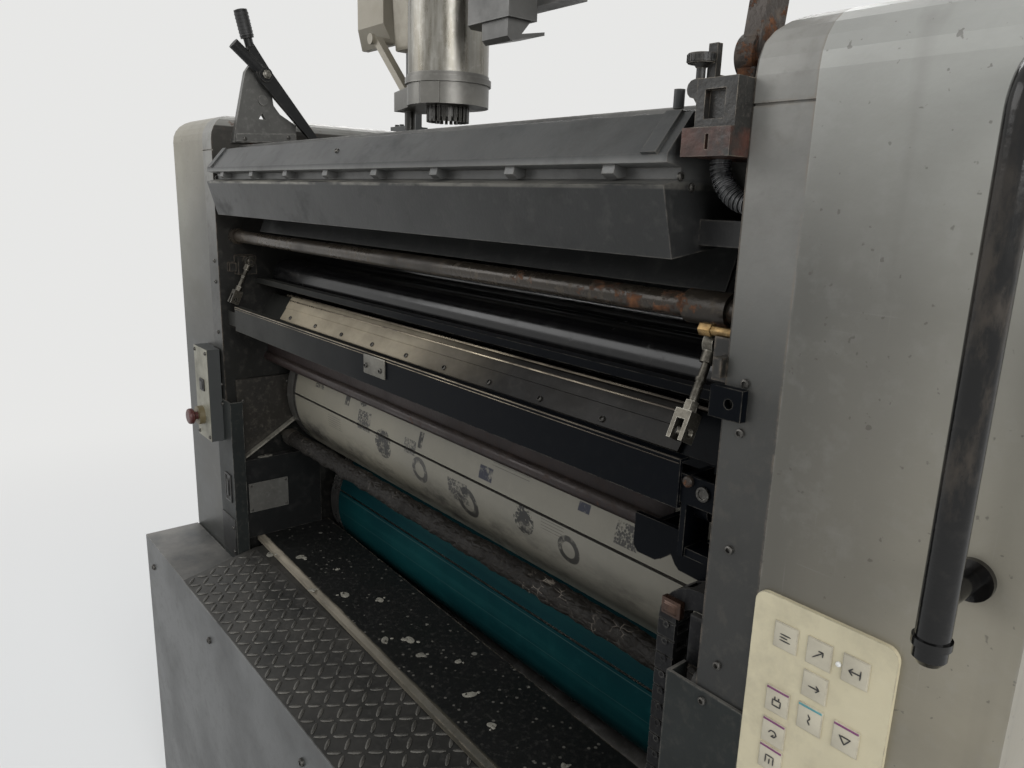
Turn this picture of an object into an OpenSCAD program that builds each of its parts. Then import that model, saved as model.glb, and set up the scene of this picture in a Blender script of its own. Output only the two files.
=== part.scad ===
// One printing unit of a sheet-fed offset press, with its front guard taken off.
// The floor is Z = 0, the cylinders lie along X and the plate side faces -Y.

/* [Unit] */
// Clearance between the ends of the printing plate and the side frames
frame_gap = 65; // [60:1:80]
// Depth of the upper part of the frames
upper_d = 640; // [600:10:720]
// How far the lower part of the frames stands out at the back
foot_d = 100; // [60:10:140]
// Depth of the apron in front of the frames
apron_d = 116; // [80:2:140]
// Height of the walkway level over the floor
deck_z = 700; // [680:10:760]
// Height of the frames over the walkway
top_h = 892; // [880:1:930]
// Thickness of each cast side frame
frame_t = 50; // [40:1:60]
// Width of each outer housing
housing_w = 180; // [140:5:240]
// Radius of the front top edge
front_r = 45; // [20:1:50]
// Radius of the side top edges
side_r = 28; // [10:1:35]
// Thickness of the bed plate on the floor
bed_t = 60; // [40:1:80]

/* [Cylinders] */
// Radius of the plate and blanket cylinders over their covering
cyl_r = 135; // [130:1:136]
// Gap between the thrown-off cylinders
throw_off = 5; // [5:0.5:8]
// Distance of the plate cylinder behind the front
plate_y = 253; // [248:1:265]
// Height of the plate cylinder over the walkway
plate_h = 350; // [345:1:356]
// Distance of the blanket cylinder behind the plate cylinder
blanket_dy = 92; // [86:1:100]
// Distance of the impression cylinder behind the blanket cylinder
impression_dy = 85; // [75:1:95]
// Width of the printing plate
plate_w = 1030; // [900:10:1300]
// Thickness of the printing plate with its packing
plate_t = 1.2; // [0.8:0.1:3]
// Thickness of the rubber blanket
blanket_t = 2; // [1:0.1:4]
// Width of a bearer ring at each cylinder end
bearer_w = 28; // [20:1:30]
// Radius of the journals of the cylinders
journal_r = 45; // [35:1:50]
// Width of the narrow gap across the plate cylinder
gap_w = 4; // [3:0.5:6]
// Depth of the cylinder gaps
gap_depth = 14; // [8:1:20]

/* [Rollers] */
// Radius of the front ink form roller
form_a_r = 36; // [33:1:38]
// Radius of the rear ink form roller
form_b_r = 32; // [28:1:35]
// Radius of the oscillating ink drum
drum_r = 45; // [43:1:48]
// Radius of the two transfer rollers
rider_r = 33; // [31:1:34]
// Radius of the roller journals
spindle_r = 11; // [8:1:13]
// Clearance between the roller covering and the side frames
roller_gap = 45; // [40:1:60]
// Radius of the ink duct roller
duct_r = 48; // [44:1:50]

/* [Guards] */
// Clearance between the front ink unit cover and the side frames
cover_gap = 53; // [50:1:60]
// Sheet thickness of covers and guards
sheet_t = 3; // [2:0.5:4]
// Radius of the round guard tube
tube_r = 11; // [8:0.5:13]
// Radius of the finger guard bar
bar_r = 13; // [10:0.5:15]
// Depth of the step board
step_w = 160; // [140:1:165]
// Thickness of the step board
step_t = 15; // [12:1:18]
// Angle at which the loose step board lies crooked
step_skew = 2.2; // [0:0.1:2.4]

/* [Guard links] */
// Radius of the pins that carry the guard links
pin_r = 4; // [3:0.5:5]
// Radius of the rods of the links
link_r = 3.8; // [3:0.2:4.6]
// Length of a link from its pin to the fork head
link_l = 52; // [46:1:56]
// Width of the square fork heads
fork_w = 16; // [13:1:18]
// Length of the fork heads
fork_l = 26; // [22:1:28]
// Lean of the hanging links from upright, in degrees
hang_lean = 25; // [20:1:35]

/* [Ink dispenser] */
// Height of the rail beam over the walkway
rail_h = 1290; // [1270:5:1340]
// Width and height of the rail beam
beam_w = 60; // [50:2:70]
// Radius of the two guide bars along the beam
guide_r = 8; // [6:0.5:10]
// Radius of the ink cartridge
cartridge_r = 56; // [50:1:60]
// Place of the dispenser along the rail
carriage_x = -14; // [-200:2:200]
// Distance of the cartridge behind the front
cartridge_y = 140; // [130:1:150]

/* [Hidden] */
$fn = 64;
fit = 0.3;
lower_d = upper_d + foot_d;
front_y = -(lower_d - apron_d) / 2;
inner_w = plate_w + 2 * frame_gap;
half_in = inner_w / 2;
roller_half = half_in - roller_gap;
body_half = plate_w / 2 + 7;
frame_x = half_in + frame_t;
outer_x = frame_x + housing_w;
cap_h = top_h - 66;
trim_h = 345;
trim_in = 30;
knee_h = 60;
back_r = 50;
bolt_places = [for (i = [-1:1]) i * (outer_x - 110)];

// Side-view place from the front of the frames and the walkway level
function at(y, z) = [front_y + y, deck_z + z];
function all_at(list) = [for (p = list) at(p[0], p[1])];
function polar(r, a) = r * [cos(a), sin(a)];
function arc(c, r, a0, a1, n = 6) = [for (i = [0:n]) c + polar(r, a0 + (a1 - a0) * i / n)];

// Centre of a roller that rests on two others, a being on the left of b
function rest_on(a, ra, b, rb) =
  let (d = norm(b - a), u = (b - a) / d, s = (ra * ra - rb * rb + d * d) / (2 * d))
  a + s * u + sqrt(ra * ra - s * s) * [-u[1], u[0]];

plate_c = at(plate_y, plate_h);
cyl_pitch = 2 * cyl_r + throw_off;
blanket_c = plate_c + [blanket_dy, -sqrt(pow(cyl_pitch, 2) - pow(blanket_dy, 2))];
imp_r = 2 * cyl_r;
imp_pitch = cyl_r + imp_r + throw_off;
imp_c = blanket_c + [impression_dy, -sqrt(pow(imp_pitch, 2) - pow(impression_dy, 2))];
form_a_c = plate_c + polar(cyl_r + form_a_r + fit, 110);
form_b_c = plate_c + polar(cyl_r + form_b_r + fit, 70);
drum_c = rest_on(form_a_c, form_a_r + drum_r + fit, form_b_c, form_b_r + drum_r + fit);
transfer_c = drum_c + polar(drum_r + rider_r + fit, 150);
front_c = transfer_c + polar(2 * rider_r + fit, 187);
duct_y = 175;
duct_c = at(duct_y, 770);
roller_places = [form_a_c, form_b_c, drum_c, transfer_c, front_c, duct_c];

// Side-view outline pulled along X
module span(x0, x1) {
  translate([x0, 0, 0]) rotate([90, 0, 90]) linear_extrude(x1 - x0) children();
}

// Round bar along X about a side-view place
module bar(c, r, x0, x1) {
  translate([x0, c[0], c[1]]) rotate([0, 90, 0]) cylinder(r = r, h = x1 - x0);
}

// Flat arm with round ends between two side-view places
module flat_arm(a, b, r, x0, x1) {
  turn = atan2(b[1] - a[1], b[0] - a[0]);
  span(x0, x1) polygon(concat(arc(b, r, turn - 90, turn + 90), arc(a, r, turn + 90, turn + 270)));
}

// Round stick between two side-view places at one X
module stick(x, a, b, r) {
  d = b - a;
  translate([x, a[0], a[1]]) rotate([-atan2(d[0], d[1]), 0, 0]) cylinder(r = r, h = norm(d));
}

// Box given by its low and high places, from the frame front and the walkway
module block(lo, hi) {
  translate([lo[0], front_y + lo[1], deck_z + lo[2]]) cube(hi - lo);
}

module both_sides() {
  children();
  mirror([1, 0, 0]) children();
}

// Bed plate with a notch for each foundation bolt
module bed_plate() {
  notch_w = 60;
  notch_d = 40;
  flange = 22;
  color("dimgray") {
    difference() {
      translate([-outer_x, front_y - apron_d, 0]) cube([2 * outer_x, apron_d + lower_d, bed_t]);
      for (x = bolt_places, side = [0, 1])
        translate([x - notch_w / 2, side == 0 ? front_y - apron_d - 1 : front_y + lower_d - notch_d, flange])
          cube([notch_w, notch_d + 1, bed_t]);
    }
    for (x = bolt_places, y = [front_y - apron_d + notch_d / 2, front_y + lower_d - notch_d / 2])
      translate([x, y, flange]) {
        cylinder(r = 16, h = 3);
        translate([0, 0, 3]) cylinder(r = 12, h = 14, $fn = 6);
      }
  }
}

// Side view of the frames and housings
tower = concat(
  [[front_y, bed_t]],
  arc(at(front_r, top_h - front_r), front_r, 180, 90),
  arc(at(upper_d - back_r, top_h - back_r), back_r, 90, 0),
  [at(upper_d, knee_h), at(lower_d - 30, knee_h), at(lower_d, knee_h - 30), [front_y + lower_d, bed_t]]
);

// Front view that rounds one top edge, the low side first
function rounded_front(x0, x1, r) = concat(
  [[x0, 0], [x1, 0]],
  arc([x1 - r, deck_z + top_h - r], r, 0, 90),
  [[x0, deck_z + top_h]]
);

module tower_slice(x0, x1) {
  intersection() {
    span(x0, x1) polygon(tower);
    translate([0, front_y + lower_d + 1, 0]) rotate([90, 0, 0]) linear_extrude(lower_d + 2)
      polygon(rounded_front(x0, x1, side_r));
  }
}

// Cast wall of the left side, its inner top edge rounded
module side_wall() {
  groove = 2;
  difference() {
    tower_slice(-frame_x, -half_in);
    for (c = [plate_c, blanket_c, imp_c]) bar(c, journal_r + fit, -frame_x - 1, -half_in + 1);
    for (c = roller_places) bar(c, spindle_r + fit, -frame_x - 1, -half_in + 1);
    block([-frame_x - 1, -1, cap_h], [-half_in + 1, groove, cap_h + groove]);
  }
}

// Places of the guard link eyes, from the frame front and the walkway
eye_x = half_in - 31;
eye_left = [-eye_x, 50, 622];
eye_right = [eye_x, 24, 642];
eye_half = 5;

// Bracket, boss and pin for one guard link, on the left side
module link_pin(eye) {
  c = at(eye[1], eye[2]);
  pad = 18;
  block([-half_in, eye[1] - pad, eye[2] - 26], [-half_in + pad, eye[1] + pad, eye[2] + 10]);
  block([-half_in, eye[1] - pad - 14, eye[2] - 20], [-half_in + 8, eye[1] - pad, eye[2] - 4]);
  bar(c, pin_r + 5, -half_in, -eye_x - eye_half - 6);
  bar(c, pin_r, -half_in, -eye_x + eye_half + 3);
}

module side_frame_left() {
  color("darkgray") {
    side_wall();
    link_pin(eye_left);
  }
}

module side_frame_right() {
  color("darkgray") mirror([1, 0, 0]) {
    side_wall();
    link_pin(eye_right);
  }
}

// Outer housing of the right side, with the joint lines of its two large side covers
module gear_housing() {
  groove = 3;
  margin = 60;
  low = bed_t + 70;
  mid = deck_z + 20;
  difference() {
    tower_slice(frame_x, outer_x);
    for (z = [low, mid, deck_z + top_h - 90])
      translate([outer_x - groove, front_y + margin, z]) cube([groove + 1, upper_d - 2 * margin, groove]);
    for (y = [front_y + margin, front_y + upper_d - margin - groove])
      translate([outer_x - groove, y, low]) cube([groove + 1, groove, deck_z + top_h - 90 - low + groove]);
    for (z = [low + 110, mid + 130])
      translate([outer_x - 14, front_y + upper_d / 2, z]) grip_recess();
  }
}

// Sunk grip of a side cover, cut from its outer face
module grip_recess() {
  half = 45;
  r = 12;
  rotate([90, 0, 90]) linear_extrude(20)
    polygon(concat(arc([half, 0], r, -90, 90), arc([-half, 0], r, 90, 270)));
}

module housing_left() { color("gray") mirror([1, 0, 0]) gear_housing(); }
module housing_right() { color("gray") gear_housing(); }

// Folded cover on the lower front of a side frame, for the left side
module lower_trim() {
  depth = 22;
  block([-frame_x, -sheet_t, 0], [-half_in + trim_in, 0, trim_h]);
  block([-half_in + trim_in - sheet_t, -sheet_t, 0], [-half_in + trim_in, depth, trim_h]);
}

module lower_trim_left() { color("dimgray") lower_trim(); }
module lower_trim_right() { color("dimgray") mirror([1, 0, 0]) lower_trim(); }

// Closed box of the walkway with a smooth corner sheet on each side of the ramp
module front_apron() {
  color("dimgray") {
    translate([-outer_x, front_y - apron_d, bed_t]) cube([2 * outer_x, apron_d, deck_z - sheet_t - bed_t]);
    both_sides() block([half_in - trim_in - 5, -apron_d, -sheet_t], [outer_x, -sheet_t, 0]);
  }
}

// Folded rear cover between the frames, in two halves with a joint and sunk grips
module rear_cover() {
  t = 2 * sheet_t;
  color("gray") difference() {
    span(-half_in, half_in) polygon(concat(
      [[front_y + lower_d - t, bed_t], [front_y + lower_d, bed_t]],
      all_at([[lower_d, knee_h - 30], [lower_d - 30, knee_h], [upper_d, knee_h], [upper_d, top_h - 62],
              [upper_d - t, top_h - 62], [upper_d - t, knee_h - t], [lower_d - 30 - t / 2, knee_h - t],
              [lower_d - t, knee_h - 30 - t / 2]])
    ));
    block([-1, upper_d - 2, knee_h], [1, upper_d + 1, top_h - 61]);
    translate([-1, front_y + lower_d - 2, bed_t - 1]) cube([2, 3, deck_z + knee_h - 40 - bed_t]);
    for (x = [-half_in / 2, half_in / 2], z = [knee_h + 60, 700])
      block([x - 50, upper_d - 3, z], [x + 50, upper_d + 1, z + 3]);
  }
}

module top_cover() {
  edge_y = duct_y + 110;
  front_h = top_h - 46;
  back_h = top_h - 32;
  color("dimgray") span(-half_in, half_in) polygon(all_at([
    [edge_y, front_h], [edge_y, front_h - 66], [edge_y + sheet_t, front_h - 66], [edge_y + sheet_t, front_h - sheet_t],
    [upper_d - 30, back_h - sheet_t], [upper_d - sheet_t, back_h - 30], [upper_d, back_h - 30], [upper_d - 28, back_h]
  ]));
}

board_z = 45;
ramp_z = board_z - step_t;
// Sloping tread sheet with the beam that carries it
module tread_ramp() {
  half = half_in - trim_in - 5;
  color("darkslategray") {
    span(-half, half) polygon(all_at([
      [-apron_d, -sheet_t], [-apron_d, 0], [30, ramp_z], [178, ramp_z], [178, ramp_z - 5], [31, ramp_z - 5], [-92, -sheet_t]
    ]));
    block([-half, 60, -30], [half, 130, ramp_z - 5]);
    block([-half_in, 60, -30], [half_in, 130, -5]);
  }
}

module step_board() {
  x0 = -half_in + 8;
  x1 = half_in - trim_in - 5;
  mid = 106;
  nose = 12;
  color("black")
    translate([0, front_y + mid, deck_z]) rotate([0, 0, -step_skew]) union() {
      translate([x0, -step_w / 2 + nose, ramp_z]) cube([x1 - x0, step_w - nose, step_t]);
      translate([x0, -step_w / 2 + nose, ramp_z]) rotate([90, 0, 90]) linear_extrude(x1 - x0)
        polygon([[0, 0], [-nose + 2, 0], [-nose, 3], [-nose + 1, step_t - 5], [-3, step_t], [0, step_t]]);
    }
}

// Cylinder body with bearer rings and journals, turned about X at the origin
module cylinder_body(r, body_half, ring_r) {
  ring_0 = body_half + 5;
  ring_1 = ring_0 + bearer_w;
  neck = r - 12;
  rotate([0, 90, 0]) rotate_extrude() polygon([
    [0, -frame_x + 2], [journal_r, -frame_x + 2], [journal_r, -ring_1],
    [ring_r, -ring_1], [ring_r, -ring_0], [neck, -ring_0], [neck, -body_half], [r, -body_half],
    [r, body_half], [neck, body_half], [neck, ring_0], [ring_r, ring_0], [ring_r, ring_1],
    [journal_r, ring_1], [journal_r, frame_x - 2], [0, frame_x - 2]
  ]);
}

// Sheet wrapped round a cylinder, open at one angle
module wrap(r_in, r_out, half, angle, open) {
  difference() {
    rotate([0, 90, 0]) rotate_extrude()
      polygon([[r_in, -half], [r_out, -half], [r_out, half], [r_in, half]]);
    rotate([angle, 0, 0]) translate([-half - 1, r_in - 5, -open / 2]) cube([2 * half + 2, 20, open]);
  }
}

gap_angle = 177;
gripper_angles = [40, 220];
line_angle = 165;
module plate_cylinder() {
  r = cyl_r - plate_t;
  color("silver") translate([0, plate_c[0], plate_c[1]]) difference() {
    cylinder_body(r, body_half, cyl_r);
    rotate([gap_angle, 0, 0]) translate([-body_half - 1, r - gap_depth, -gap_w / 2])
      cube([2 * body_half + 2, gap_depth + 5, gap_w]);
  }
}

module printing_plate() {
  color("beige") translate([0, plate_c[0], plate_c[1]])
    wrap(cyl_r - plate_t, cyl_r, plate_w / 2, gap_angle, gap_w);
}

module blanket_cylinder() {
  r = cyl_r - blanket_t;
  color("silver") translate([0, blanket_c[0], blanket_c[1]]) difference() {
    cylinder_body(r, body_half, cyl_r);
    rotate([line_angle, 0, 0]) translate([-body_half - 1, r - gap_depth, -gap_w / 2])
      cube([2 * body_half + 2, gap_depth + 5, gap_w]);
  }
}

module blanket() {
  color("teal") translate([0, blanket_c[0], blanket_c[1]])
    wrap(cyl_r - blanket_t, cyl_r, body_half - 4, line_angle, gap_w);
}

// Double-size cylinder with a row of sheet grippers in each of its two gaps
module impression_cylinder() {
  channel = 60;
  deep = 45;
  shaft_r = 11;
  shaft_at = imp_r - 26;
  grippers = 19;
  pitch = (2 * body_half - 60) / (grippers - 1);
  finger_w = 18;
  color("silver") translate([0, imp_c[0], imp_c[1]]) {
    difference() {
      cylinder_body(imp_r, body_half, imp_r);
      for (a = gripper_angles) rotate([a, 0, 0])
        translate([-body_half - 1, imp_r - deep, -channel / 2]) cube([2 * body_half + 2, deep + 20, channel]);
    }
    for (a = gripper_angles) rotate([a, 0, 0]) {
      translate([-body_half - 6, shaft_at, 0]) rotate([0, 90, 0]) cylinder(r = shaft_r, h = 2 * body_half + 12);
      for (i = [0:grippers - 1])
        translate([i * pitch - body_half + 30 - finger_w / 2, shaft_at, 0]) rotate([90, 0, 90])
          linear_extrude(finger_w) polygon([
            [-14, -13], [12, -13], [20, 14], [17, 27], [12, 27], [13, 15], [4, 13], [-14, 13]
          ]);
      translate([-body_half, imp_r - deep, channel / 2 - 6]) cube([2 * body_half, deep - 14, 6]);
    }
  }
}

// Covered roller on a spindle
module roller(c, r) {
  shoulder = 20;
  bar(c, r, -roller_half, roller_half);
  bar(c, spindle_r, -frame_x + 2, frame_x - 2);
  bar(c, spindle_r + 5, -roller_half - shoulder, roller_half + shoulder);
}

module form_roller_front() { color("black") roller(form_a_c, form_a_r); }
module form_roller_rear() { color("black") roller(form_b_c, form_b_r); }
module ink_drum() { color("sienna") roller(drum_c, drum_r); }
module transfer_roller() { color("black") roller(transfer_c, rider_r); }
module front_roller() { color("black") roller(front_c, rider_r); }
module duct_roller() { color("silver") roller(duct_c, duct_r); }

// Black cover in front of the ink unit, with the long recess across it, its catches and end straps
module ink_cover() {
  w = half_in - cover_gap;
  catches = 8;
  catch_w = 14;
  step = (2 * w - 130) / (catches - 1);
  color("darkslategray") {
    span(-w, w) polygon(all_at([
      [0, 826], [-28, 793], [-28, 786], [-10, 783], [-10, 774], [-30, 769], [-13, 711],
      [82, 725], [64, 680], [64 + sheet_t, 680], [90, 728], [90, 740], [20, 826]
    ]));
    for (i = [0:catches - 1])
      translate([65 - w + i * step, 0, 0])
        span(-catch_w / 2, catch_w / 2) polygon(all_at([[-9, 784], [-24, 786], [-26, 778], [-20, 774], [-9, 776]]));
    for (side = [0, 1]) mirror([side, 0, 0]) {
      span(w - 26, w - 10) polygon(all_at([[-2, 828], [-31, 794], [-28, 792], [1, 826]]));
      block([w - 1, 20, 722], [half_in, 62, 743]);
    }
    translate([w - 23, front_y + 9, deck_z + 824]) {
      cylinder(r = 2.5, h = 8);
      translate([0, 0, 6]) cylinder(r = 4.5, h = 15);
    }
  }
}

module guard_tube() {
  c = at(37, 669);
  color("saddlebrown") {
    bar(c, tube_r, -half_in, half_in);
    bar(c, tube_r + 4, half_in - 68, half_in - 24);
    bar(c, tube_r + 4, -half_in, -half_in + 18);
  }
}

// Black rail over the strip and the carrier behind the strip
module strip_carrier() {
  color("black") {
    span(-half_in, half_in) polygon(all_at([[72, 578], [72, 588], [84, 589], [84, 578]]));
    span(-half_in, half_in) polygon(all_at([[81, 515], [108, 554], [122, 552], [122, 536], [100, 505], [84, 505]]));
  }
}

module washup_strip() {
  w = half_in - 100;
  color("tan") span(-w, w) polygon(all_at([
    [81, 515], [77, 518], [91, 538], [90, 539], [102, 557], [104, 558.5], [106, 557], [108, 554]
  ]));
}

// Black guard plate in front of the plate cylinder, hung on a lug at each frame
module guard_plate() {
  w = half_in - 45;
  low = 492;
  high = 538;
  face = 11;
  color("black") {
    span(-w, w) polygon(all_at([
      [face, low], [face, high], [24, high], [24, high - sheet_t], [face + sheet_t, high - sheet_t],
      [face + sheet_t, low + sheet_t], [30, low + sheet_t], [30, low]
    ]));
    both_sides() block([w - 10, face + sheet_t, 498], [half_in, face + 2 * sheet_t, 525]);
    block([w + 2, face + sheet_t, 448], [w + 8, face + 40, 525]);
    block([w + 2, face + 2 * sheet_t, 448], [half_in, face + 30, 456]);
    bar(at(face + 24, 490), 9, w + 8, w + 22);
    bar(at(face + 24, 490), 5, w + 22, w + 30);
  }
}

rod_end = half_in - 106;
module plate_rod() {
  color("saddlebrown") bar(at(92, 427), 10, -half_in, rod_end);
}

module finger_guard() {
  c = at(112, 262);
  color("saddlebrown") {
    bar(c, bar_r, -half_in + 35, half_in - 35);
    bar(c, 7, -half_in, half_in);
    both_sides() bar(c, bar_r + 4, half_in - 72, half_in - 48);
  }
}

// Black plate in front of the right end of the plate cylinder
module notch_bracket() {
  color("black") difference() {
    translate([half_in, front_y + 64, 0]) rotate([90, 0, 0]) linear_extrude(6) polygon([
      for (p = [[-131, 448], [-131, 412], [-125, 406], [-102, 406], [-92, 412], [-83, 420], [-77, 411], [-72, 407],
                [-50, 406], [0, 400], [0, 448]]) [p[0], deck_z + p[1]]
    ]);
    translate([half_in - 71, front_y + 80, deck_z + 430]) rotate([90, 0, 0]) cylinder(r = 4, h = 30);
  }
  color("black") block([rod_end, 64, 406], [rod_end + 6, 102, 448]);
}

// Plate on the left frame with a folded lower edge
module side_plate_left() {
  fold = 14;
  color("dimgray") {
    span(-half_in, -half_in + 6) polygon(all_at([[20, 385], [140, 385], [140, 290], [28, 222], [20, 230]]));
    span(-half_in, -half_in + 6 + fold) polygon(all_at([[28, 222], [140, 290], [138, 293], [26, 225]]));
  }
}

module side_block_left() {
  color("black") block([-half_in, 18, board_z + 1], [-half_in + 18, 190, 216]);
}

module tag_plate() {
  color("silver") block([-half_in + 18, 30, 102], [-half_in + 20, 114, 165]);
}

// Lug with a hole on the inner edge of the right frame
module side_lug() {
  color("black") difference() {
    block([half_in - 8, -8, 590], [half_in + 22, 0, 616]);
    translate([half_in + 10, front_y + 1, deck_z + 603]) rotate([90, 0, 0]) cylinder(r = 4, h = 10);
  }
}

// Link hanging down from its eye, which lies at the origin
module link() {
  eye_r = pin_r + 6;
  difference() {
    union() {
      rotate([0, 90, 0]) translate([0, 0, -eye_half]) cylinder(r = eye_r, h = 2 * eye_half);
      translate([0, 0, -eye_r - 8]) cylinder(r = link_r + 3, h = 10);
      translate([0, 0, -link_l]) cylinder(r = link_r, h = link_l - eye_r + 1);
      translate([0, 0, -eye_r - 24]) cylinder(r = link_r + 1, h = 3);
    }
    rotate([0, 90, 0]) translate([0, 0, -eye_half - 1]) cylinder(r = pin_r + fit, h = 2 * eye_half + 2);
  }
}

// Lock nut and fork head at the lower end of a link, below the same eye
module fork_head() {
  nut_h = 9;
  web = 8;
  slot = fork_w / 2;
  low = -link_l - nut_h - fork_l;
  difference() {
    union() {
      translate([0, 0, -link_l - nut_h]) cylinder(r = link_r + 2.5, h = nut_h, $fn = 6);
      translate([-fork_w / 2, -fork_w / 2, low]) cube([fork_w, fork_w, fork_l]);
    }
    translate([-slot / 2, -fork_w, low - 1]) cube([slot, 2 * fork_w, fork_l - web + 1]);
    translate([-fork_w, 0, low + 8]) rotate([0, 90, 0]) cylinder(r = 4, h = 2 * fork_w);
  }
}

module hang(eye) {
  translate([eye[0], front_y + eye[1], deck_z + eye[2]]) rotate([-hang_lean, 0, 0]) children();
}

module guard_link_left() { color("gray") hang(eye_left) link(); }
module guard_link_right() { color("gray") hang(eye_right) link(); }
module fork_head_left() { color("silver") hang(eye_left) fork_head(); }
module fork_head_right() { color("silver") hang(eye_right) fork_head(); }

lever_c = at(96, 966);
lever_pin = 5;
// Casting on the left frame with the pin of the throw-off lever
module lever_bracket() {
  wall = 12;
  color("gray") {
    difference() {
      span(-half_in, -half_in + wall) polygon(all_at([
        [36, 842], [66, 970], [76, 984], [106, 984], [112, 960], [118, 915], [130, 900], [162, 882], [162, 848]
      ]));
      span(-half_in - 1, -half_in + wall + 1) polygon(all_at([[88, 888], [102, 888], [95, 899]]));
    }
    bar(at(96, 922), 9, -half_in + wall, -half_in + wall + 4);
    span(-half_in, -half_in + wall + 4) polygon(all_at([[40, 844], [42, 858], [160, 866], [160, 850]]));
    bar(lever_c, lever_pin, -half_in + wall, -half_in + 38);
  }
}

// Bent hand lever with two grips, turned about the pin of its bracket
module lever() {
  x0 = -half_in + 22;
  thick = 10;
  mid = x0 + thick / 2;
  color("black") difference() {
    union() {
      bar(lever_c, lever_pin + 8, x0 - 2, x0 + thick + 4);
      span(x0, x0 + thick) polygon(all_at([
        [82, 962], [64, 1012], [76, 1018], [104, 978], [112, 968], [202, 856], [196, 849], [188, 850], [90, 950]
      ]));
      stick(mid, at(71, 1012), at(66, 1030), 8);
      stick(mid, at(67, 1026), at(56, 1072), 12);
      stick(mid, at(88, 974), at(40, 1014), 10);
    }
    bar(lever_c, lever_pin + fit, x0 - 3, x0 + thick + 5);
  }
}

// Stop bracket on the right frame with the cam plate, the locking knob and the stop post of the ink unit
module stop_block() {
  low = 790;
  high = 846;
  box_x = half_in - 36;
  cam_x = half_in - 46;
  color("black") {
    difference() {
      block([box_x, -20, low + 20], [half_in, 50, high]);
      block([box_x + 8, -21, low + 27], [box_x + 26, -14, high - 8]);
    }
    difference() {
      block([box_x - 8, -24, low], [half_in, 54, low + 21]);
      block([half_in - 22, -25, low + 5], [half_in - 19, -21, low + 16]);
    }
    translate([0, front_y - 8, deck_z]) rotate([90, 0, 0]) linear_extrude(8) polygon(concat(
      arc([cam_x + 4, high - 6], 7, 90, 270), [[box_x + 1, high - 22], [box_x + 1, high + 1]]
    ));
    translate([cam_x + 6, front_y - 12, deck_z + high - 1]) {
      cylinder(r = 3.5, h = 16);
      translate([0, 0, 10]) cylinder(r1 = 4, r2 = 7, h = 4);
      translate([0, 0, 13]) cylinder(r = 10.5, h = 7);
    }
    block([box_x, -10, high - 1], [box_x + 8, -4, high + 26]);
    block([box_x, -10, high - 1], [box_x + 8, 10, high + 4]);
  }
}

// Rusty cast arm on a round foot that rises from the stop bracket, a pin through its head
module stop_arm() {
  x0 = half_in - 32;
  thick = 16;
  low = at(38, 868);
  head = at(52, 966);
  color("sienna") {
    flat_arm(low, head, 14, x0, x0 + thick);
    bar(low, 18, x0 - 3, x0 + thick - 3);
    bar(low, 7, x0 - 9, x0);
    bar(head, 8, x0 - 6, x0 + thick + 6);
    block([x0, 22, 846], [x0 + thick, 54, 858]);
  }
}

// Ribbed conduit that bends from the stop bracket into the right frame
module conduit() {
  bend = 34;
  rings = 13;
  color("black") translate([half_in, front_y + 14, deck_z + 790]) rotate([90, 0, 0]) {
    rotate([0, 0, 180]) rotate_extrude(angle = 90) translate([bend, 0]) circle(r = 6.5);
    for (i = [0:rings - 1])
      rotate([0, 0, 180 + (i + 0.5) * 90 / rings]) translate([bend, 0, 0]) rotate([90, 0, 0])
        translate([0, 0, -1]) cylinder(r = 8.5, h = 2);
  }
}

// Ink fountain with its blade and the row of zone keys on its front
module ink_duct() {
  keys = 32;
  pitch = plate_w / keys;
  key_z = 812;
  color("dimgray") {
    span(-half_in, half_in) polygon(all_at([
      [92, 732], [98, 728], [127, 735], [130, 741], [66, 838], [52, 838], [52, 830], [92, 745]
    ]));
    for (i = [0:keys - 1])
      translate([(i + 0.5) * pitch - plate_w / 2, front_y, deck_z + key_z]) {
        translate([0, 64, 0]) rotate([90, 0, 0]) cylinder(r = 4, h = 14);
        translate([-1.5, 42, -6]) cube([3, 10, 12]);
      }
    both_sides() span(half_in - 14, half_in - 6) polygon(all_at([[122, 742], [127, 762], [104, 806], [80, 804]]));
  }
}

gantry_y = 452;
guide_y = gantry_y - beam_w / 2 - 22;
guide_z = [rail_h + 10, rail_h + beam_w - 10];
// Portal over the unit with the beam, its end caps and gussets, and the guide bars of the dispenser
module gantry() {
  post = 25;
  post_x = half_in + 4;
  stop_w = 20;
  cap = 6;
  gusset = 70;
  over = 40;
  color("dimgray") {
    both_sides() {
      block([post_x, gantry_y - post / 2, top_h], [post_x + post, gantry_y + post / 2, rail_h]);
      block([post_x, gantry_y - 28, top_h], [post_x + 66, gantry_y + 28, top_h + 12]);
      for (x = [post_x + 36, post_x + 56], y = [-18, 18])
        translate([x - 2, front_y + gantry_y + y, deck_z + top_h + 12]) cylinder(r = 5, h = 5, $fn = 6);
      block([half_in - stop_w, guide_y - 12, rail_h], [half_in, gantry_y - beam_w / 2, rail_h + beam_w]);
      block([half_in + over, gantry_y - beam_w / 2 - 2, rail_h - 2], [half_in + over + cap, gantry_y + beam_w / 2 + 2, rail_h + beam_w + 2]);
      translate([0, front_y + gantry_y + 4, deck_z + rail_h]) rotate([90, 0, 0]) linear_extrude(8)
        polygon([[post_x, 1], [post_x, -gusset], [post_x - gusset, 0], [post_x - gusset, 1]]);
    }
    block([-half_in - over, gantry_y - beam_w / 2, rail_h], [half_in + over, gantry_y + beam_w / 2, rail_h + beam_w]);
    for (z = guide_z) bar(at(guide_y, z), guide_r, -half_in + stop_w, half_in - stop_w);
  }
}

base_low = 877;
base_top = 918;
// Hood of a drive box, given by its left end and width, its front left edge chamfered
module drive_hood(x0, w, face, low, high, back) {
  cut = 16;
  translate([0, 0, deck_z + low]) linear_extrude(high - low) polygon([
    for (p = [[x0, back], [x0, face + cut], [x0 + cut, face], [x0 + w, face], [x0 + w, back]]) [p[0], front_y + p[1]]
  ]);
}

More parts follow.
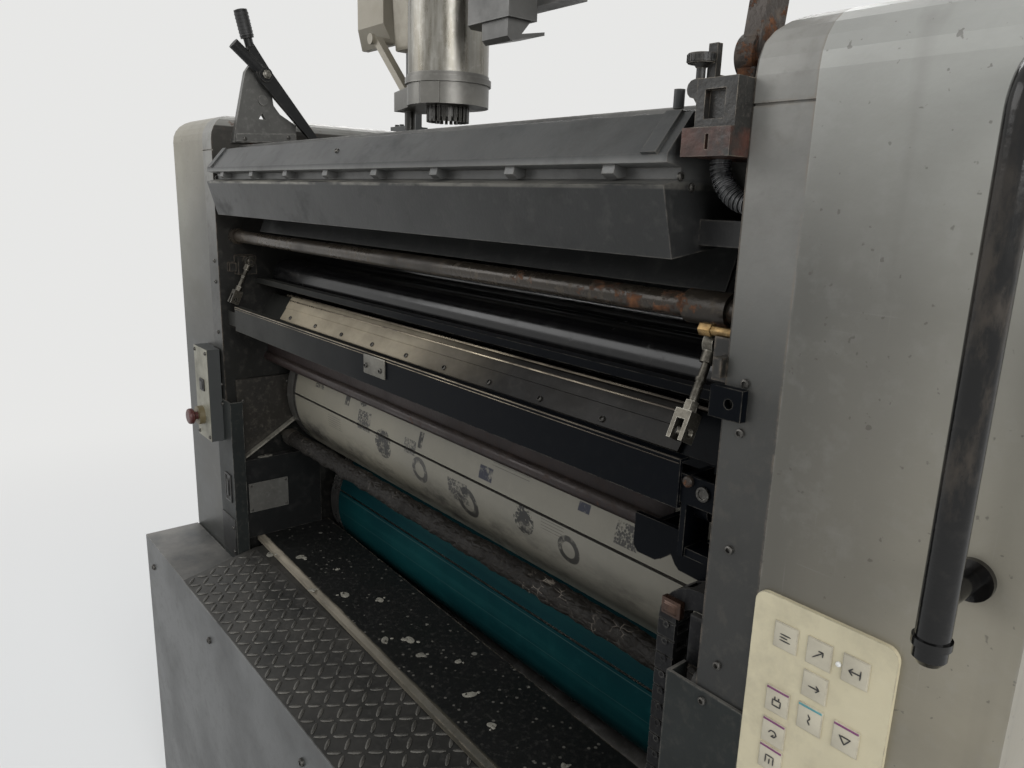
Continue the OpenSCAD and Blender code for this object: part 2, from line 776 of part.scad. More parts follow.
// Slide of the dispenser on the guide bars, with its two drive boxes, the clamp of the cartridge and the strut
module carriage() {
  block_t = 24;
  plate_back = guide_y - block_t / 2;
  plate_front = plate_back - 10;
  half = 240;
  mid = carriage_x - 46;
  plate_low = 1080;
  box_top = 1240;
  left = mid - half - 6;
  left_w = 98;
  left_face = 150;
  left_low = 988;
  left_back = 178;
  right = carriage_x + 92;
  right_w = 96;
  right_face = 94;
  right_low = 962;
  right_back = 138;
  clamp_z = 1120;
  strut_y = 146;
  color("dimgray") {
    difference() {
      for (x = [mid - half + 40, mid + half - 100])
        block([x, plate_back, rail_h - 2], [x + 60, plate_back + block_t, rail_h + beam_w + 2]);
      for (z = guide_z) bar(at(guide_y, z), guide_r + fit, mid - half, mid + half);
    }
    block([mid - half, plate_front, plate_low], [mid + half, plate_back, rail_h + beam_w + 2]);
    difference() {
      drive_hood(left, left_w, left_face, left_low, box_top, left_back);
      span(left - 1, left + left_w + 1) polygon(all_at([
        [left_face - 1, 1018], [left_back - 11, left_low], [left_back - 11, left_low - 1], [left_face - 1, left_low - 1]
      ]));
    }
    block([left + 10, left_back - 1, plate_low], [left + left_w - 10, plate_front + 1, box_top]);
    drive_hood(right, right_w, right_face, right_low, box_top, right_back);
    block([right + 10, right_back - 1, plate_low], [right + right_w - 10, plate_front + 1, box_top]);
    span(right + 40, right + right_w - 6) polygon(all_at([
      [98, right_low + 1], [98, 942], [104, 937], [156, 950], [156, 954], [120, 947], [134, right_low + 1]
    ]));
    block([right + right_w - 30, right_back - 1, 979], [right + right_w + 60, right_back + 24, 1060]);
    difference() {
      block([left + left_w - 1, cartridge_y - 30, clamp_z], [right + 1, cartridge_y + 30, clamp_z + 40]);
      translate([carriage_x, front_y + cartridge_y, deck_z + clamp_z - 1]) cylinder(r = cartridge_r + fit, h = 42);
    }
    translate([carriage_x, front_y + strut_y, deck_z]) rotate([90, 0, 0]) linear_extrude(12)
      polygon([[-206, 994], [-190, 994], [-98, base_top - 14 + 0.2], [-114, base_top - 14 + 0.2]]);
    translate([carriage_x - 198, front_y + left_back - 10, deck_z + 991]) rotate([90, 0, 0]) {
      cylinder(r = 5, h = left_back - strut_y + 6);
      translate([0, 0, left_back - strut_y + 2]) cylinder(r = 8, h = 6);
    }
  }
}

// Ink cartridge with its rim and end cap
module ink_cartridge() {
  tall = 330;
  color("silver") translate([carriage_x, front_y + cartridge_y, deck_z + base_top])
    rotate_extrude() polygon([
      [0, 0], [cartridge_r, 0], [cartridge_r, tall - 34], [cartridge_r + 4, tall - 30], [cartridge_r + 4, tall - 10],
      [cartridge_r - 4, tall], [0, tall]
    ]);
}

// Holder under the cartridge with its nose, the toothed ring and the valve block
module cartridge_base() {
  ring_h = 14;
  teeth = 24;
  ring_r = cartridge_r - 29;
  nose = cartridge_r + 58;
  color("dimgray") {
    translate([carriage_x, front_y + cartridge_y, deck_z]) {
      translate([0, 0, base_low]) cylinder(r = cartridge_r + 1, h = base_top - base_low);
      translate([0, 0, base_top - 13]) cylinder(r = cartridge_r + 4, h = 8);
      translate([0, 0, base_low - ring_h]) cylinder(r = ring_r, h = ring_h + 1);
      for (i = [0:teeth - 1]) rotate([0, 0, i * 360 / teeth])
        translate([ring_r - 3, -2, base_low - ring_h - 6]) cube([6, 4, ring_h + 7]);
      translate([-2, -22, base_low - 18]) cylinder(r = 8, h = 19, $fn = 6);
      translate([0, 0, base_low]) linear_extrude(base_top - 14 - base_low) polygon([
        [-nose, 20], [-nose, -19], [19, -58], [41, -43], [30, 0], [-30, 50], [-nose + 34, 50]
      ]);
      translate([-nose + 24, -6, base_low - 26]) cylinder(r = 8, h = 27);
    }
  }
}

// Operator panel on the right housing, its corners rounded
module panel_right() {
  r = 10;
  low = [frame_x + 0.5 + r, 232 + r];
  high = [frame_x + 113 - r, 462 - r];
  color("ivory") translate([0, front_y, deck_z]) rotate([90, 0, 0]) linear_extrude(4) polygon(concat(
    arc(high, r, 0, 90), arc([low[0], high[1]], r, 90, 180), arc(low, r, 180, 270), arc([high[0], low[1]], r, 270, 360)
  ));
}

stop_x = -frame_x - 8;
stop_z = 306;
stem_r = 8;
panel_y = [-28, -sheet_t];
collar_out = 12;
// Small raised control box on the left, with the collar of the stop button
module panel_left() {
  x0 = -frame_x - 42;
  x1 = -frame_x + 36;
  color("ivory") difference() {
    union() {
      block([x0, panel_y[0], 258], [x1, panel_y[1], 447]);
      block([x0, panel_y[1] - 1, 258], [-frame_x, 0, 447]);
      translate([stop_x, front_y + panel_y[0], deck_z + stop_z]) rotate([90, 0, 0])
        cylinder(r = 19, h = collar_out);
    }
    translate([stop_x, front_y - 12, deck_z + stop_z]) rotate([90, 0, 0]) cylinder(r = stem_r + fit, h = 40);
  }
}

// Mushroom head and stem of the stop button
module stop_button() {
  head = 12;
  gap = 7;
  front = -panel_y[0] + collar_out + gap;
  color("red") translate([stop_x, front_y, deck_z + stop_z]) rotate([90, 0, 0]) {
    translate([0, 0, 20]) cylinder(r = stem_r, h = front - 20 + 1);
    translate([0, 0, front]) rotate_extrude() polygon([
      [0, 0], [13, 0], [16, 3], [16, head - 4], [15, head - 1.5], [12, head], [0, head]
    ]);
  }
}

// Tube handle with one bend, standing off the front of the right housing
module grab_handle() {
  r = 10;
  x = outer_x - 34;
  out = 50;
  bend = 28;
  top = 834;
  low = 490;
  color("black") {
    translate([x, front_y - out, deck_z + low + 4]) cylinder(r = r, h = top - bend - low - 4);
    translate([x, front_y - out, deck_z + low]) cylinder(r1 = r - 3, r2 = r, h = 4);
    translate([x, front_y - out, deck_z + low + 12]) cylinder(r = r + 1.5, h = 5);
    translate([x, front_y - out + bend, deck_z + top - bend]) rotate([90, 0, 90]) rotate([0, 0, 90])
      rotate_extrude(angle = 90) translate([bend, 0]) circle(r = r);
    translate([x, front_y, deck_z + top]) rotate([90, 0, 0]) cylinder(r = r, h = out - bend);
    translate([x, front_y, deck_z + low + 40]) rotate([90, 0, 0]) {
      cylinder(r = 7, h = out);
      cylinder(r = 14, h = 5);
    }
  }
}

chain_y = 41;
chain_half = 13;
// Side outline of the energy chain: out of the frame, round one bend and down, drawn inset by a wall
function chain_path(turn, bend, low, inset) = concat(
  arc(turn, bend - 10 + inset, 90, 180), [[turn[0] - bend + 10 - inset, low], [turn[0] - bend - 10 + inset, low]],
  arc(turn, bend + 10 - inset, 180, 90), [[half_in - 4, turn[1] + bend + 10 - inset], [half_in - 4, turn[1] + bend - 10 + inset]]
);

// Energy chain with open links, held by a bracket on the right frame at each end
module cable_chain() {
  pitch = 18;
  bend = 34;
  falls = 13;
  turns = 4;
  wall = 3;
  turn = [half_in - 24, deck_z + 370];
  down_x = turn[0] - bend;
  low = turn[1] - falls * pitch;
  color("black") translate([0, front_y + chain_y, 0]) {
    difference() {
      translate([0, chain_half, 0]) rotate([90, 0, 0]) linear_extrude(2 * chain_half)
        polygon(chain_path(turn, bend, low, 0));
      translate([0, chain_half - wall, 0]) rotate([90, 0, 0]) linear_extrude(2 * (chain_half - wall))
        polygon(chain_path(turn, bend, low - 1, wall));
      for (i = [0:falls - 1]) {
        translate([down_x - 12, -chain_half + 5, low + (i + 0.3) * pitch]) cube([24, 2 * chain_half - 10, 9]);
        for (side = [-1, 1])
          translate([down_x - 12, side * (chain_half - 0.4) - 1, low + (i + 1) * pitch - 2]) cube([24, 2, 2]);
      }
      for (i = [1:turns])
        translate([turn[0], 0, turn[1]]) rotate([0, 90 - i * 90 / (turns + 0.5), 0])
          translate([-bend - 12, -chain_half + 5, -4]) cube([24, 2 * chain_half - 10, 8]);
    }
    translate([half_in - 8, -chain_half, turn[1] + bend - 14]) cube([8, 2 * chain_half, 28]);
    translate([down_x - 12, -chain_half, low - 16]) cube([half_in - down_x + 12, 2 * chain_half, 17]);
  }
}

bed_plate();
side_frame_left();
side_frame_right();
housing_left();
housing_right();
lower_trim_left();
lower_trim_right();
front_apron();
rear_cover();
top_cover();
tread_ramp();
step_board();
plate_cylinder();
printing_plate();
blanket_cylinder();
blanket();
impression_cylinder();
form_roller_front();
form_roller_rear();
ink_drum();
transfer_roller();
front_roller();
ink_cover();
guard_tube();
strip_carrier();
washup_strip();
guard_plate();
plate_rod();
finger_guard();
notch_bracket();
side_plate_left();
side_block_left();
tag_plate();
side_lug();
guard_link_left();
guard_link_right();
fork_head_left();
fork_head_right();
lever_bracket();
lever();
stop_block();
stop_arm();
conduit();
ink_duct();
duct_roller();
gantry();
carriage();
ink_cartridge();
cartridge_base();
panel_right();
panel_left();
stop_button();
grab_handle();
cable_chain();
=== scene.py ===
# Printing unit of a sheet-fed offset press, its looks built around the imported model
import math
import random

import bmesh
import bpy
from mathutils import Matrix, Vector


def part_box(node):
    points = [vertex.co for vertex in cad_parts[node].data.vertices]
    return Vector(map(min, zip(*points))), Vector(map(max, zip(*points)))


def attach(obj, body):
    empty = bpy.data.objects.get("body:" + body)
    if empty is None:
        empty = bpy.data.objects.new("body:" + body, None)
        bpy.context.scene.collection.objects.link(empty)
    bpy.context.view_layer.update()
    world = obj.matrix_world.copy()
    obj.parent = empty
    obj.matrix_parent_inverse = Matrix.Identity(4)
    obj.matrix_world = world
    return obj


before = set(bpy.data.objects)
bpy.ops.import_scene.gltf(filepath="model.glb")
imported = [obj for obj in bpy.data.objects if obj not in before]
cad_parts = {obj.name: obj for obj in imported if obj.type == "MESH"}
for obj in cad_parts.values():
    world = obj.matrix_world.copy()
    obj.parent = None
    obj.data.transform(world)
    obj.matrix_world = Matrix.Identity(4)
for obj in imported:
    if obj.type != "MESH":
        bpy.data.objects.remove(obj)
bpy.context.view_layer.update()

# The view of the photograph: hand-held at head height beside the right housing,
# looking down along the cylinders to the left.
EYE = Vector((0.9305, -0.825, 1.454))
LOOK_LEFT, LOOK_DOWN, ROLL = math.radians(50.21), math.radians(13.47), math.radians(1.84)
LENS = 27.04
forward = Vector((-math.sin(LOOK_LEFT) * math.cos(LOOK_DOWN),
                  math.cos(LOOK_LEFT) * math.cos(LOOK_DOWN), -math.sin(LOOK_DOWN)))
level = Vector((math.cos(LOOK_LEFT), math.sin(LOOK_LEFT), 0))
upright = level.cross(forward)
across = math.cos(ROLL) * level + math.sin(ROLL) * upright
upward = math.cos(ROLL) * upright - math.sin(ROLL) * level
camera_data = bpy.data.cameras.new("camera")
camera_data.lens = LENS
camera_data.clip_start = 0.01
camera = bpy.data.objects.new("camera", camera_data)
camera.matrix_world = Matrix.Translation(EYE) @ Matrix((across, upward, -forward)).transposed().to_4x4()
bpy.context.scene.collection.objects.link(camera)
bpy.context.scene.camera = camera
bpy.context.scene.view_settings.view_transform = "Standard"

# Plain pale floor, pale surroundings and soft studio light from large lamps.
# The pale tone shows to the camera and in reflections, and the lamps stay at a plain level.
PALE = (0.80, 0.80, 0.79, 1)


def new_node(tree, kind, settings=None, **inputs):
    """Adds a shader node, sets its options, and sets or links its inputs by name."""
    node = tree.nodes.new("ShaderNode" + kind)
    for name, value in (settings or {}).items():
        setattr(node, name, value)
    for name, value in inputs.items():
        socket = node.inputs[name.replace("_", " ")]
        if isinstance(value, bpy.types.NodeSocket):
            tree.links.new(value, socket)
        else:
            socket.default_value = value
    return node


world = bpy.data.worlds.new("studio")
world.use_nodes = True
sky = world.node_tree
sky.nodes.clear()
path = new_node(sky, "LightPath")
seen = new_node(sky, "Math", {"operation": "MAXIMUM"})
sky.links.new(path.outputs["Is Camera Ray"], seen.inputs[0])
sky.links.new(path.outputs["Is Glossy Ray"], seen.inputs[1])
soft = new_node(sky, "Background", Color=(0.93, 0.96, 1.0, 1), Strength=0.38)
shown = new_node(sky, "Background", Color=PALE, Strength=1.0)
either = new_node(sky, "MixShader", Fac=seen.outputs[0])
sky.links.new(soft.outputs[0], either.inputs[1])
sky.links.new(shown.outputs[0], either.inputs[2])
new_node(sky, "OutputWorld", Surface=either.outputs[0])
bpy.context.scene.world = world

bpy.ops.mesh.primitive_plane_add(size=24, location=(0, 0, 0))
floor = bpy.context.active_object
floor.name = "floor"
floor_paint = bpy.data.materials.new("pale_floor")
floor_paint.use_nodes = True
ground = floor_paint.node_tree
near = ground.nodes["Principled BSDF"]
near.inputs["Base Color"].default_value = PALE
near.inputs["Roughness"].default_value = 0.9
spot_from = new_node(ground, "VectorMath", {"operation": "LENGTH"})
ground.links.new(new_node(ground, "TexCoord").outputs["Object"], spot_from.inputs[0])
far_share = new_node(ground, "MapRange", {"interpolation_type": "SMOOTHSTEP"}, Value=spot_from.outputs["Value"],
                     From_Min=1.3, From_Max=4.2)
floor_path = new_node(ground, "LightPath")
floor_seen = new_node(ground, "Math", {"operation": "MAXIMUM"})
ground.links.new(floor_path.outputs["Is Camera Ray"], floor_seen.inputs[0])
ground.links.new(floor_path.outputs["Is Glossy Ray"], floor_seen.inputs[1])
far_seen = new_node(ground, "Math", {"operation": "MULTIPLY"})
ground.links.new(far_share.outputs[0], far_seen.inputs[0])
ground.links.new(floor_seen.outputs[0], far_seen.inputs[1])
glow = new_node(ground, "Emission", Color=PALE, Strength=1.0)
blend = new_node(ground, "MixShader", Fac=far_seen.outputs[0])
ground.links.new(near.outputs[0], blend.inputs[1])
ground.links.new(glow.outputs[0], blend.inputs[2])
ground.links.new(blend.outputs[0], ground.nodes["Material Output"].inputs["Surface"])
floor.data.materials.append(floor_paint)


def soft_lamp(name, place, aim, size, power):
    """Large square lamp turned towards a point."""
    lamp = bpy.data.lights.new(name, "AREA")
    lamp.size = size
    lamp.energy = power
    holder = bpy.data.objects.new(name, lamp)
    holder.location = place
    holder.rotation_euler = (Vector(aim) - Vector(place)).to_track_quat("-Z", "Y").to_euler()
    bpy.context.scene.collection.objects.link(holder)


soft_lamp("window_lamp", (-2.6, 2.4, 4.0), (0, 0, 1.2), 3.0, 105)
soft_lamp("front_lamp", (-2.4, -3.0, 3.2), (0.3, 0, 1.3), 2.6, 48)
soft_lamp("right_lamp", (3.6, -1.3, 2.8), (0.4, 0, 1.3), 2.4, 92)


# Painted castings and sheet: the paint is mottled, dust lies on what faces up, and dirt runs down.
# The same four effects serve the whole unit, each material with its own values.
def mix_colour(tree, factor, first, second, blend="MIX"):
    """Colour between two others, each a colour or a socket."""
    node = tree.nodes.new("ShaderNodeMix")
    node.data_type = "RGBA"
    node.blend_type = blend
    for socket, value in ((node.inputs[0], factor), (node.inputs[6], first), (node.inputs[7], second)):
        if isinstance(value, bpy.types.NodeSocket):
            tree.links.new(value, socket)
        else:
            socket.default_value = value
    return node.outputs[2]


def spread(tree, value, low, high, start=0.0, end=1.0):
    """Value stretched from one range to another and held at its ends."""
    node = new_node(tree, "MapRange", Value=value, From_Min=low, From_Max=high, To_Min=start, To_Max=end)
    return node.outputs[0]


def times(tree, first, second, operation="MULTIPLY"):
    """Two values put together by a sum, each a number or a socket."""
    node = tree.nodes.new("ShaderNodeMath")
    node.operation = operation
    for socket, value in zip(node.inputs, (first, second)):
        if isinstance(value, bpy.types.NodeSocket):
            tree.links.new(value, socket)
        else:
            socket.default_value = value
    return node.outputs[0]


def stretched(tree, scale, place=None):
    """Object coordinates with their own scale along each axis."""
    coords = place or new_node(tree, "TexCoord").outputs["Object"]
    return new_node(tree, "Mapping", Vector=coords, Scale=scale).outputs[0]


def noise(tree, scale, detail=4.0, rough=0.55, stretch=(1, 1, 1)):
    """Noise value over the object's own place."""
    node = new_node(tree, "TexNoise", Vector=stretched(tree, stretch), Scale=scale, Detail=detail, Roughness=rough)
    return node.outputs["Fac"]


def effect(name, inputs, outputs):
    """New node group with named inputs and outputs, and its two end nodes."""
    group = bpy.data.node_groups.new(name, "ShaderNodeTree")
    for label, kind, default in inputs:
        socket = group.interface.new_socket(label, in_out="INPUT", socket_type="NodeSocket" + kind)
        socket.default_value = default
    for label, kind in outputs:
        group.interface.new_socket(label, in_out="OUTPUT", socket_type="NodeSocket" + kind)
    start = group.nodes.new("NodeGroupInput").outputs
    end = group.nodes.new("NodeGroupOutput").inputs
    return group, start, end


grime, start, end = effect("grime", [
    ("Color", "Color", (0.3, 0.3, 0.3, 1)), ("Dark", "Color", (0.05, 0.05, 0.05, 1)),
    ("Pale", "Color", (0.5, 0.5, 0.48, 1)), ("Amount", "Float", 0.5), ("Scale", "Float", 1.0),
], [("Color", "Color"), ("Mask", "Float")])
big = new_node(grime, "TexNoise", Vector=stretched(grime, (1, 1, 1)), Detail=6.0, Roughness=0.6)
grime.links.new(times(grime, start["Scale"], 3.2), big.inputs["Scale"])
fine = new_node(grime, "TexNoise", Vector=stretched(grime, (1, 1, 1)), Detail=5.0, Roughness=0.65)
grime.links.new(times(grime, start["Scale"], 38.0), fine.inputs["Scale"])
runs = noise(grime, 9.0, 3.0, 0.5, (1.4, 1.4, 0.08))
dark = times(grime, spread(grime, big.outputs["Fac"], 0.42, 0.72), start["Amount"])
darker = mix_colour(grime, dark, start["Color"], start["Dark"])
run = times(grime, spread(grime, runs, 0.55, 0.8), start["Amount"])
streaked = mix_colour(grime, times(grime, run, 0.5), darker, start["Dark"])
speck = times(grime, spread(grime, fine.outputs["Fac"], 0.52, 0.75), start["Amount"])
grime.links.new(mix_colour(grime, times(grime, speck, 0.55), streaked, start["Pale"]), end["Color"])
grime.links.new(times(grime, dark, speck, "ADD"), end["Mask"])

dusting, start, end = effect("dusting", [
    ("Color", "Color", (0.1, 0.1, 0.1, 1)), ("Dust", "Color", (0.32, 0.30, 0.27, 1)), ("Amount", "Float", 0.6),
], [("Color", "Color"), ("Mask", "Float")])
upturned = new_node(dusting, "SeparateXYZ", Vector=new_node(dusting, "NewGeometry").outputs["Normal"]).outputs["Z"]
lying = spread(dusting, upturned, 0.25, 0.95)
patchy = spread(dusting, noise(dusting, 14.0, 6.0, 0.65), 0.30, 0.68)
mask = times(dusting, times(dusting, lying, patchy), start["Amount"])
dusting.links.new(mix_colour(dusting, mask, start["Color"], start["Dust"]), end["Color"])
dusting.links.new(mask, end["Mask"])

wear, start, end = effect("edge_wear", [
    ("Color", "Color", (0.1, 0.1, 0.1, 1)), ("Bare", "Color", (0.4, 0.38, 0.35, 1)),
    ("Width", "Float", 0.003), ("Amount", "Float", 1.0),
], [("Color", "Color"), ("Mask", "Float")])
rounded = new_node(wear, "Bevel", {"samples": 4}, Radius=start["Width"])
flat = new_node(wear, "NewGeometry").outputs["Normal"]
turned = new_node(wear, "VectorMath", {"operation": "DOT_PRODUCT"})
wear.links.new(rounded.outputs[0], turned.inputs[0])
wear.links.new(flat, turned.inputs[1])
edge = spread(wear, turned.outputs["Value"], 0.99, 0.86)
broken = spread(wear, noise(wear, 60.0, 6.0, 0.7), 0.40, 0.58)
mask = times(wear, times(wear, edge, broken), start["Amount"])
wear.links.new(mix_colour(wear, mask, start["Color"], start["Bare"]), end["Color"])
wear.links.new(mask, end["Mask"])

rusting, start, end = effect("rusting", [
    ("Color", "Color", (0.1, 0.1, 0.1, 1)), ("Amount", "Float", 0.5), ("Scale", "Float", 14.0),
], [("Color", "Color"), ("Mask", "Float"), ("Height", "Float")])
patch = new_node(rusting, "TexNoise", Vector=stretched(rusting, (1, 1, 1)), Scale=start["Scale"], Detail=8.0,
                 Roughness=0.68)
threshold = times(rusting, 0.78, times(rusting, start["Amount"], 0.42), "SUBTRACT")
mask = spread(rusting, times(rusting, patch.outputs["Fac"], threshold, "SUBTRACT"), 0.0, 0.07)
tone = mix_colour(rusting, spread(rusting, noise(rusting, 90.0, 5.0), 0.35, 0.65),
                  (0.030, 0.014, 0.008, 1), (0.165, 0.070, 0.030, 1))
rusting.links.new(mix_colour(rusting, mask, start["Color"], tone), end["Color"])
rusting.links.new(mask, end["Mask"])
rusting.links.new(times(rusting, mask, noise(rusting, 160.0, 4.0)), end["Height"])


def apply_group(tree, group, **inputs):
    """Places an effect in a material and returns its outputs."""
    node = tree.nodes.new("ShaderNodeGroup")
    node.node_tree = group
    for name, value in inputs.items():
        socket = node.inputs[name]
        if isinstance(value, bpy.types.NodeSocket):
            tree.links.new(value, socket)
        else:
            socket.default_value = value
    return node.outputs


def new_material(name, metallic=0.0, roughness=0.5, **sockets):
    """Material with one Principled shader, its plain values set on the shader itself."""
    material = bpy.data.materials.new(name)
    material.use_nodes = True
    shader = material.node_tree.nodes["Principled BSDF"]
    shader.inputs["Metallic"].default_value = metallic
    shader.inputs["Roughness"].default_value = roughness
    for label, value in sockets.items():
        shader.inputs[label.replace("_", " ")].default_value = value
    return material, material.node_tree, shader


def roughen(tree, shader, mask, low, high):
    """Roughness that follows a mask."""
    tree.links.new(spread(tree, mask, 0.0, 1.0, low, high), shader.inputs["Roughness"])


def bump(tree, shader, height, strength, distance=0.001):
    """Bump from a height value."""
    node = new_node(tree, "Bump", Height=height, Strength=strength, Distance=distance)
    tree.links.new(node.outputs[0], shader.inputs["Normal"])


def painted(name, colour, dark, pale, amount=0.6, scale=1.0, dust=0.5, dust_colour=(0.30, 0.28, 0.25, 1),
            roughness=(0.38, 0.62), edge=(0.30, 0.28, 0.25, 1), edge_width=0.003, edge_amount=0.8,
            rust=0.0, metallic=0.0, grain=0.25, gloss=0.5):
    """Painted metal with mottled dirt, dust on what faces up, worn edges and some rust."""
    material, tree, shader = new_material(name, metallic, Specular_IOR_Level=gloss)
    dirt = apply_group(tree, grime, Color=colour, Dark=dark, Pale=pale, Amount=amount, Scale=scale)
    worn = apply_group(tree, wear, Color=dirt["Color"], Bare=edge, Width=edge_width, Amount=edge_amount)
    last = worn["Color"]
    height = noise(tree, 220.0, 3.0)
    if rust:
        oxide = apply_group(tree, rusting, Color=last, Amount=rust)
        last = oxide["Color"]
        height = times(tree, height, oxide["Height"], "ADD")
    lying_dust = apply_group(tree, dusting, Color=last, Dust=dust_colour, Amount=dust)
    tree.links.new(lying_dust["Color"], shader.inputs["Base Color"])
    roughen(tree, shader, times(tree, dirt["Mask"], lying_dust["Mask"], "ADD"), *roughness)
    bump(tree, shader, height, grain, 0.0006)
    return material


def dress(material, *names):
    """Gives CAD nodes a finish."""
    for name in names:
        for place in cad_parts[name].material_slots:
            place.material = material


# Outer housings: cast covers in grey satin paint, scuffed and greasy, darker towards the walkway,
# partly from dirt and partly as painted shade. Screws from the front hold each to its frame.
def housing_paint(name, top, middle, bottom, high, low, metallic=0.3):
    """Grey satin paint that darkens downwards, partly as painted shade, with painted shade towards
    its inner side, and with wiped smears, drips and fine scratches.
    """
    material, tree, shader = new_material(name, metallic)
    height = new_node(tree, "SeparateXYZ", Vector=stretched(tree, (1, 1, 1))).outputs["Z"]
    wavy = times(tree, height, times(tree, noise(tree, 2.4, 4.0), 0.22), "ADD")
    inward = new_node(tree, "SeparateXYZ", Vector=stretched(tree, (1, 1, 1))).outputs["X"]
    inward = times(tree, inward, 0.0, "ABSOLUTE")
    half = (high + low) / 2
    # From top to bottom the colours darken: partly dirt, partly painted shade.
    upper = mix_colour(tree, spread(tree, wavy, high + 0.11, half + 0.11), top, middle)
    base = mix_colour(tree, spread(tree, wavy, half + 0.11, low + 0.11), upper, bottom)
    # Painted shade: the face darkens towards its inner side, next to the cylinders.
    inner_side_shade = times(tree, spread(tree, inward, 0.78, 0.640, 0.0, 0.72), spread(tree, height, 1.60, 1.40, 0.25, 1.0))
    shaded = mix_colour(tree, inner_side_shade, base, (0.05, 0.05, 0.047, 1))
    dirt = apply_group(tree, grime, Color=shaded, Dark=(0.045, 0.044, 0.041, 1), Pale=(0.40, 0.40, 0.385, 1),
                       Amount=0.20, Scale=1.3)
    smear = spread(tree, noise(tree, 5.0, 8.0, 0.68, (0.5, 0.5, 0.9)), 0.50, 0.74)
    wiped = mix_colour(tree, times(tree, smear, 0.34), dirt["Color"], (0.13, 0.122, 0.100, 1))
    drip = spread(tree, noise(tree, 16.0, 3.0, 0.5, (1.6, 1.6, 0.05)), 0.62, 0.80)
    dripped = mix_colour(tree, times(tree, drip, 0.28), wiped, (0.09, 0.08, 0.07, 1))
    across_marks = spread(tree, noise(tree, 44.0, 2.0, 0.4, (0.25, 0.25, 8.0)), 0.70, 0.73)
    down_marks = spread(tree, noise(tree, 48.0, 2.0, 0.4, (8.0, 8.0, 0.28)), 0.71, 0.74)
    patchy = spread(tree, noise(tree, 7.0, 3.0), 0.48, 0.66)
    marks = times(tree, times(tree, times(tree, across_marks, down_marks, "MAXIMUM"), patchy), 0.07)
    marked = mix_colour(tree, marks, dripped, (0.46, 0.455, 0.44, 1))
    fleck = spread(tree, noise(tree, 150.0, 2.0, 0.5), 0.70, 0.73)
    flecked = mix_colour(tree, times(tree, fleck, 0.5), marked, (0.07, 0.06, 0.05, 1))
    worn = apply_group(tree, wear, Color=flecked, Bare=(0.36, 0.35, 0.33, 1), Width=0.003, Amount=0.35)
    dust = apply_group(tree, dusting, Color=worn["Color"], Dust=(0.44, 0.42, 0.38, 1), Amount=0.45)
    tree.links.new(dust["Color"], shader.inputs["Base Color"])
    gloss = times(tree, times(tree, smear, 0.45), times(tree, dirt["Mask"], 0.8), "ADD")
    roughen(tree, shader, gloss, 0.36, 0.62)
    relief = times(tree, noise(tree, 340.0, 2.0), times(tree, marks, 0.4), "SUBTRACT")
    bump(tree, shader, relief, 0.16, 0.0005)
    return material


right_paint = housing_paint("right_housing_paint", (0.520, 0.530, 0.505, 1), (0.265, 0.256, 0.222, 1),
                            (0.300, 0.272, 0.208, 1), 1.64, 1.10)
left_paint = housing_paint("left_housing_paint", (0.36, 0.330, 0.258, 1), (0.185, 0.182, 0.152, 1),
                           (0.034, 0.037, 0.034, 1), 1.60, 1.16)
dress(right_paint, "housing_right")
dress(left_paint, "housing_left")

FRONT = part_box("side_frame_left")[0][1]
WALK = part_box("front_apron")[1][2]
HALF_IN = -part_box("side_plate_left")[0][0]
FRAME_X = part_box("side_frame_right")[1][0]
OUTER_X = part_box("housing_right")[1][0]


def spot(x, y, z):
    """Place in the frame from millimetres along X, behind the front and over the walkway."""
    return Vector((x / 1000, FRONT + y / 1000, WALK + z / 1000))


def begin(name, add, place, size=(1, 1, 1), **options):
    """Starts a piece from a primitive at its place and size, and opens it for editing, all selected."""
    bpy.ops.object.select_all(action="DESELECT")
    add(location=place, **options)
    piece = bpy.context.active_object
    piece.name = piece.data.name = name
    piece.scale = size
    bpy.ops.object.transform_apply(location=True, rotation=True, scale=True)
    bpy.ops.object.mode_set(mode="EDIT")
    return piece


def start_box(name, low, high):
    """Starts a piece from a box between two corners, opened for editing."""
    low, high = Vector(low), Vector(high)
    return begin(name, bpy.ops.mesh.primitive_cube_add, (low + high) / 2, (high - low) / 2)


def pick(piece, test):
    """Selects the faces whose middle and normal pass a test."""
    bpy.ops.mesh.select_mode(type="FACE")
    bpy.ops.mesh.select_all(action="DESELECT")
    shell = bmesh.from_edit_mesh(piece.data)
    for face in shell.faces:
        face.select_set(test(face.calc_center_median(), face.normal))
    bmesh.update_edit_mesh(piece.data)


def pull(move):
    """Extrudes the selected faces by a distance in the frame."""
    bpy.ops.mesh.extrude_region_move(TRANSFORM_OT_translate={"value": move})


def add_modifier(piece, kind, **settings):
    """Puts a modifier on a piece and applies it."""
    modifier = piece.modifiers.new(kind.lower(), kind)
    for name, value in settings.items():
        setattr(modifier, name, value)
    bpy.context.view_layer.objects.active = piece
    bpy.ops.object.modifier_apply(modifier=modifier.name)


def end_piece(piece, material, body="root", bevel=0.0, bend=35):
    """Closes a piece: rounded edges, smooth faces, its finish and the body it rides on."""
    if piece.mode == "EDIT":
        bpy.ops.object.mode_set(mode="OBJECT")
    if bevel:
        add_modifier(piece, "BEVEL", width=bevel, segments=2, limit_method="ANGLE", harden_normals=False)
    bpy.ops.object.select_all(action="DESELECT")
    piece.select_set(True)
    bpy.context.view_layer.objects.active = piece
    bpy.ops.object.shade_smooth_by_angle(angle=math.radians(bend))
    piece.data.materials.clear()
    piece.data.materials.append(material)
    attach(piece, body)
    return piece


def repeat(master, name, places):
    """Copies a piece to each place, a matrix, every copy with its own mesh, and joins the copies."""
    if master.mode == "EDIT":
        bpy.ops.object.mode_set(mode="OBJECT")
    copies = []
    for place in places:
        copy = master.copy()
        copy.data = master.data.copy()
        copy.data.transform(place)
        bpy.context.scene.collection.objects.link(copy)
        copies.append(copy)
    bpy.ops.object.select_all(action="DESELECT")
    for copy in copies:
        copy.select_set(True)
    bpy.context.view_layer.objects.active = copies[0]
    if len(copies) > 1:
        bpy.ops.object.join()
    copies[0].name = copies[0].data.name = name
    return copies[0]


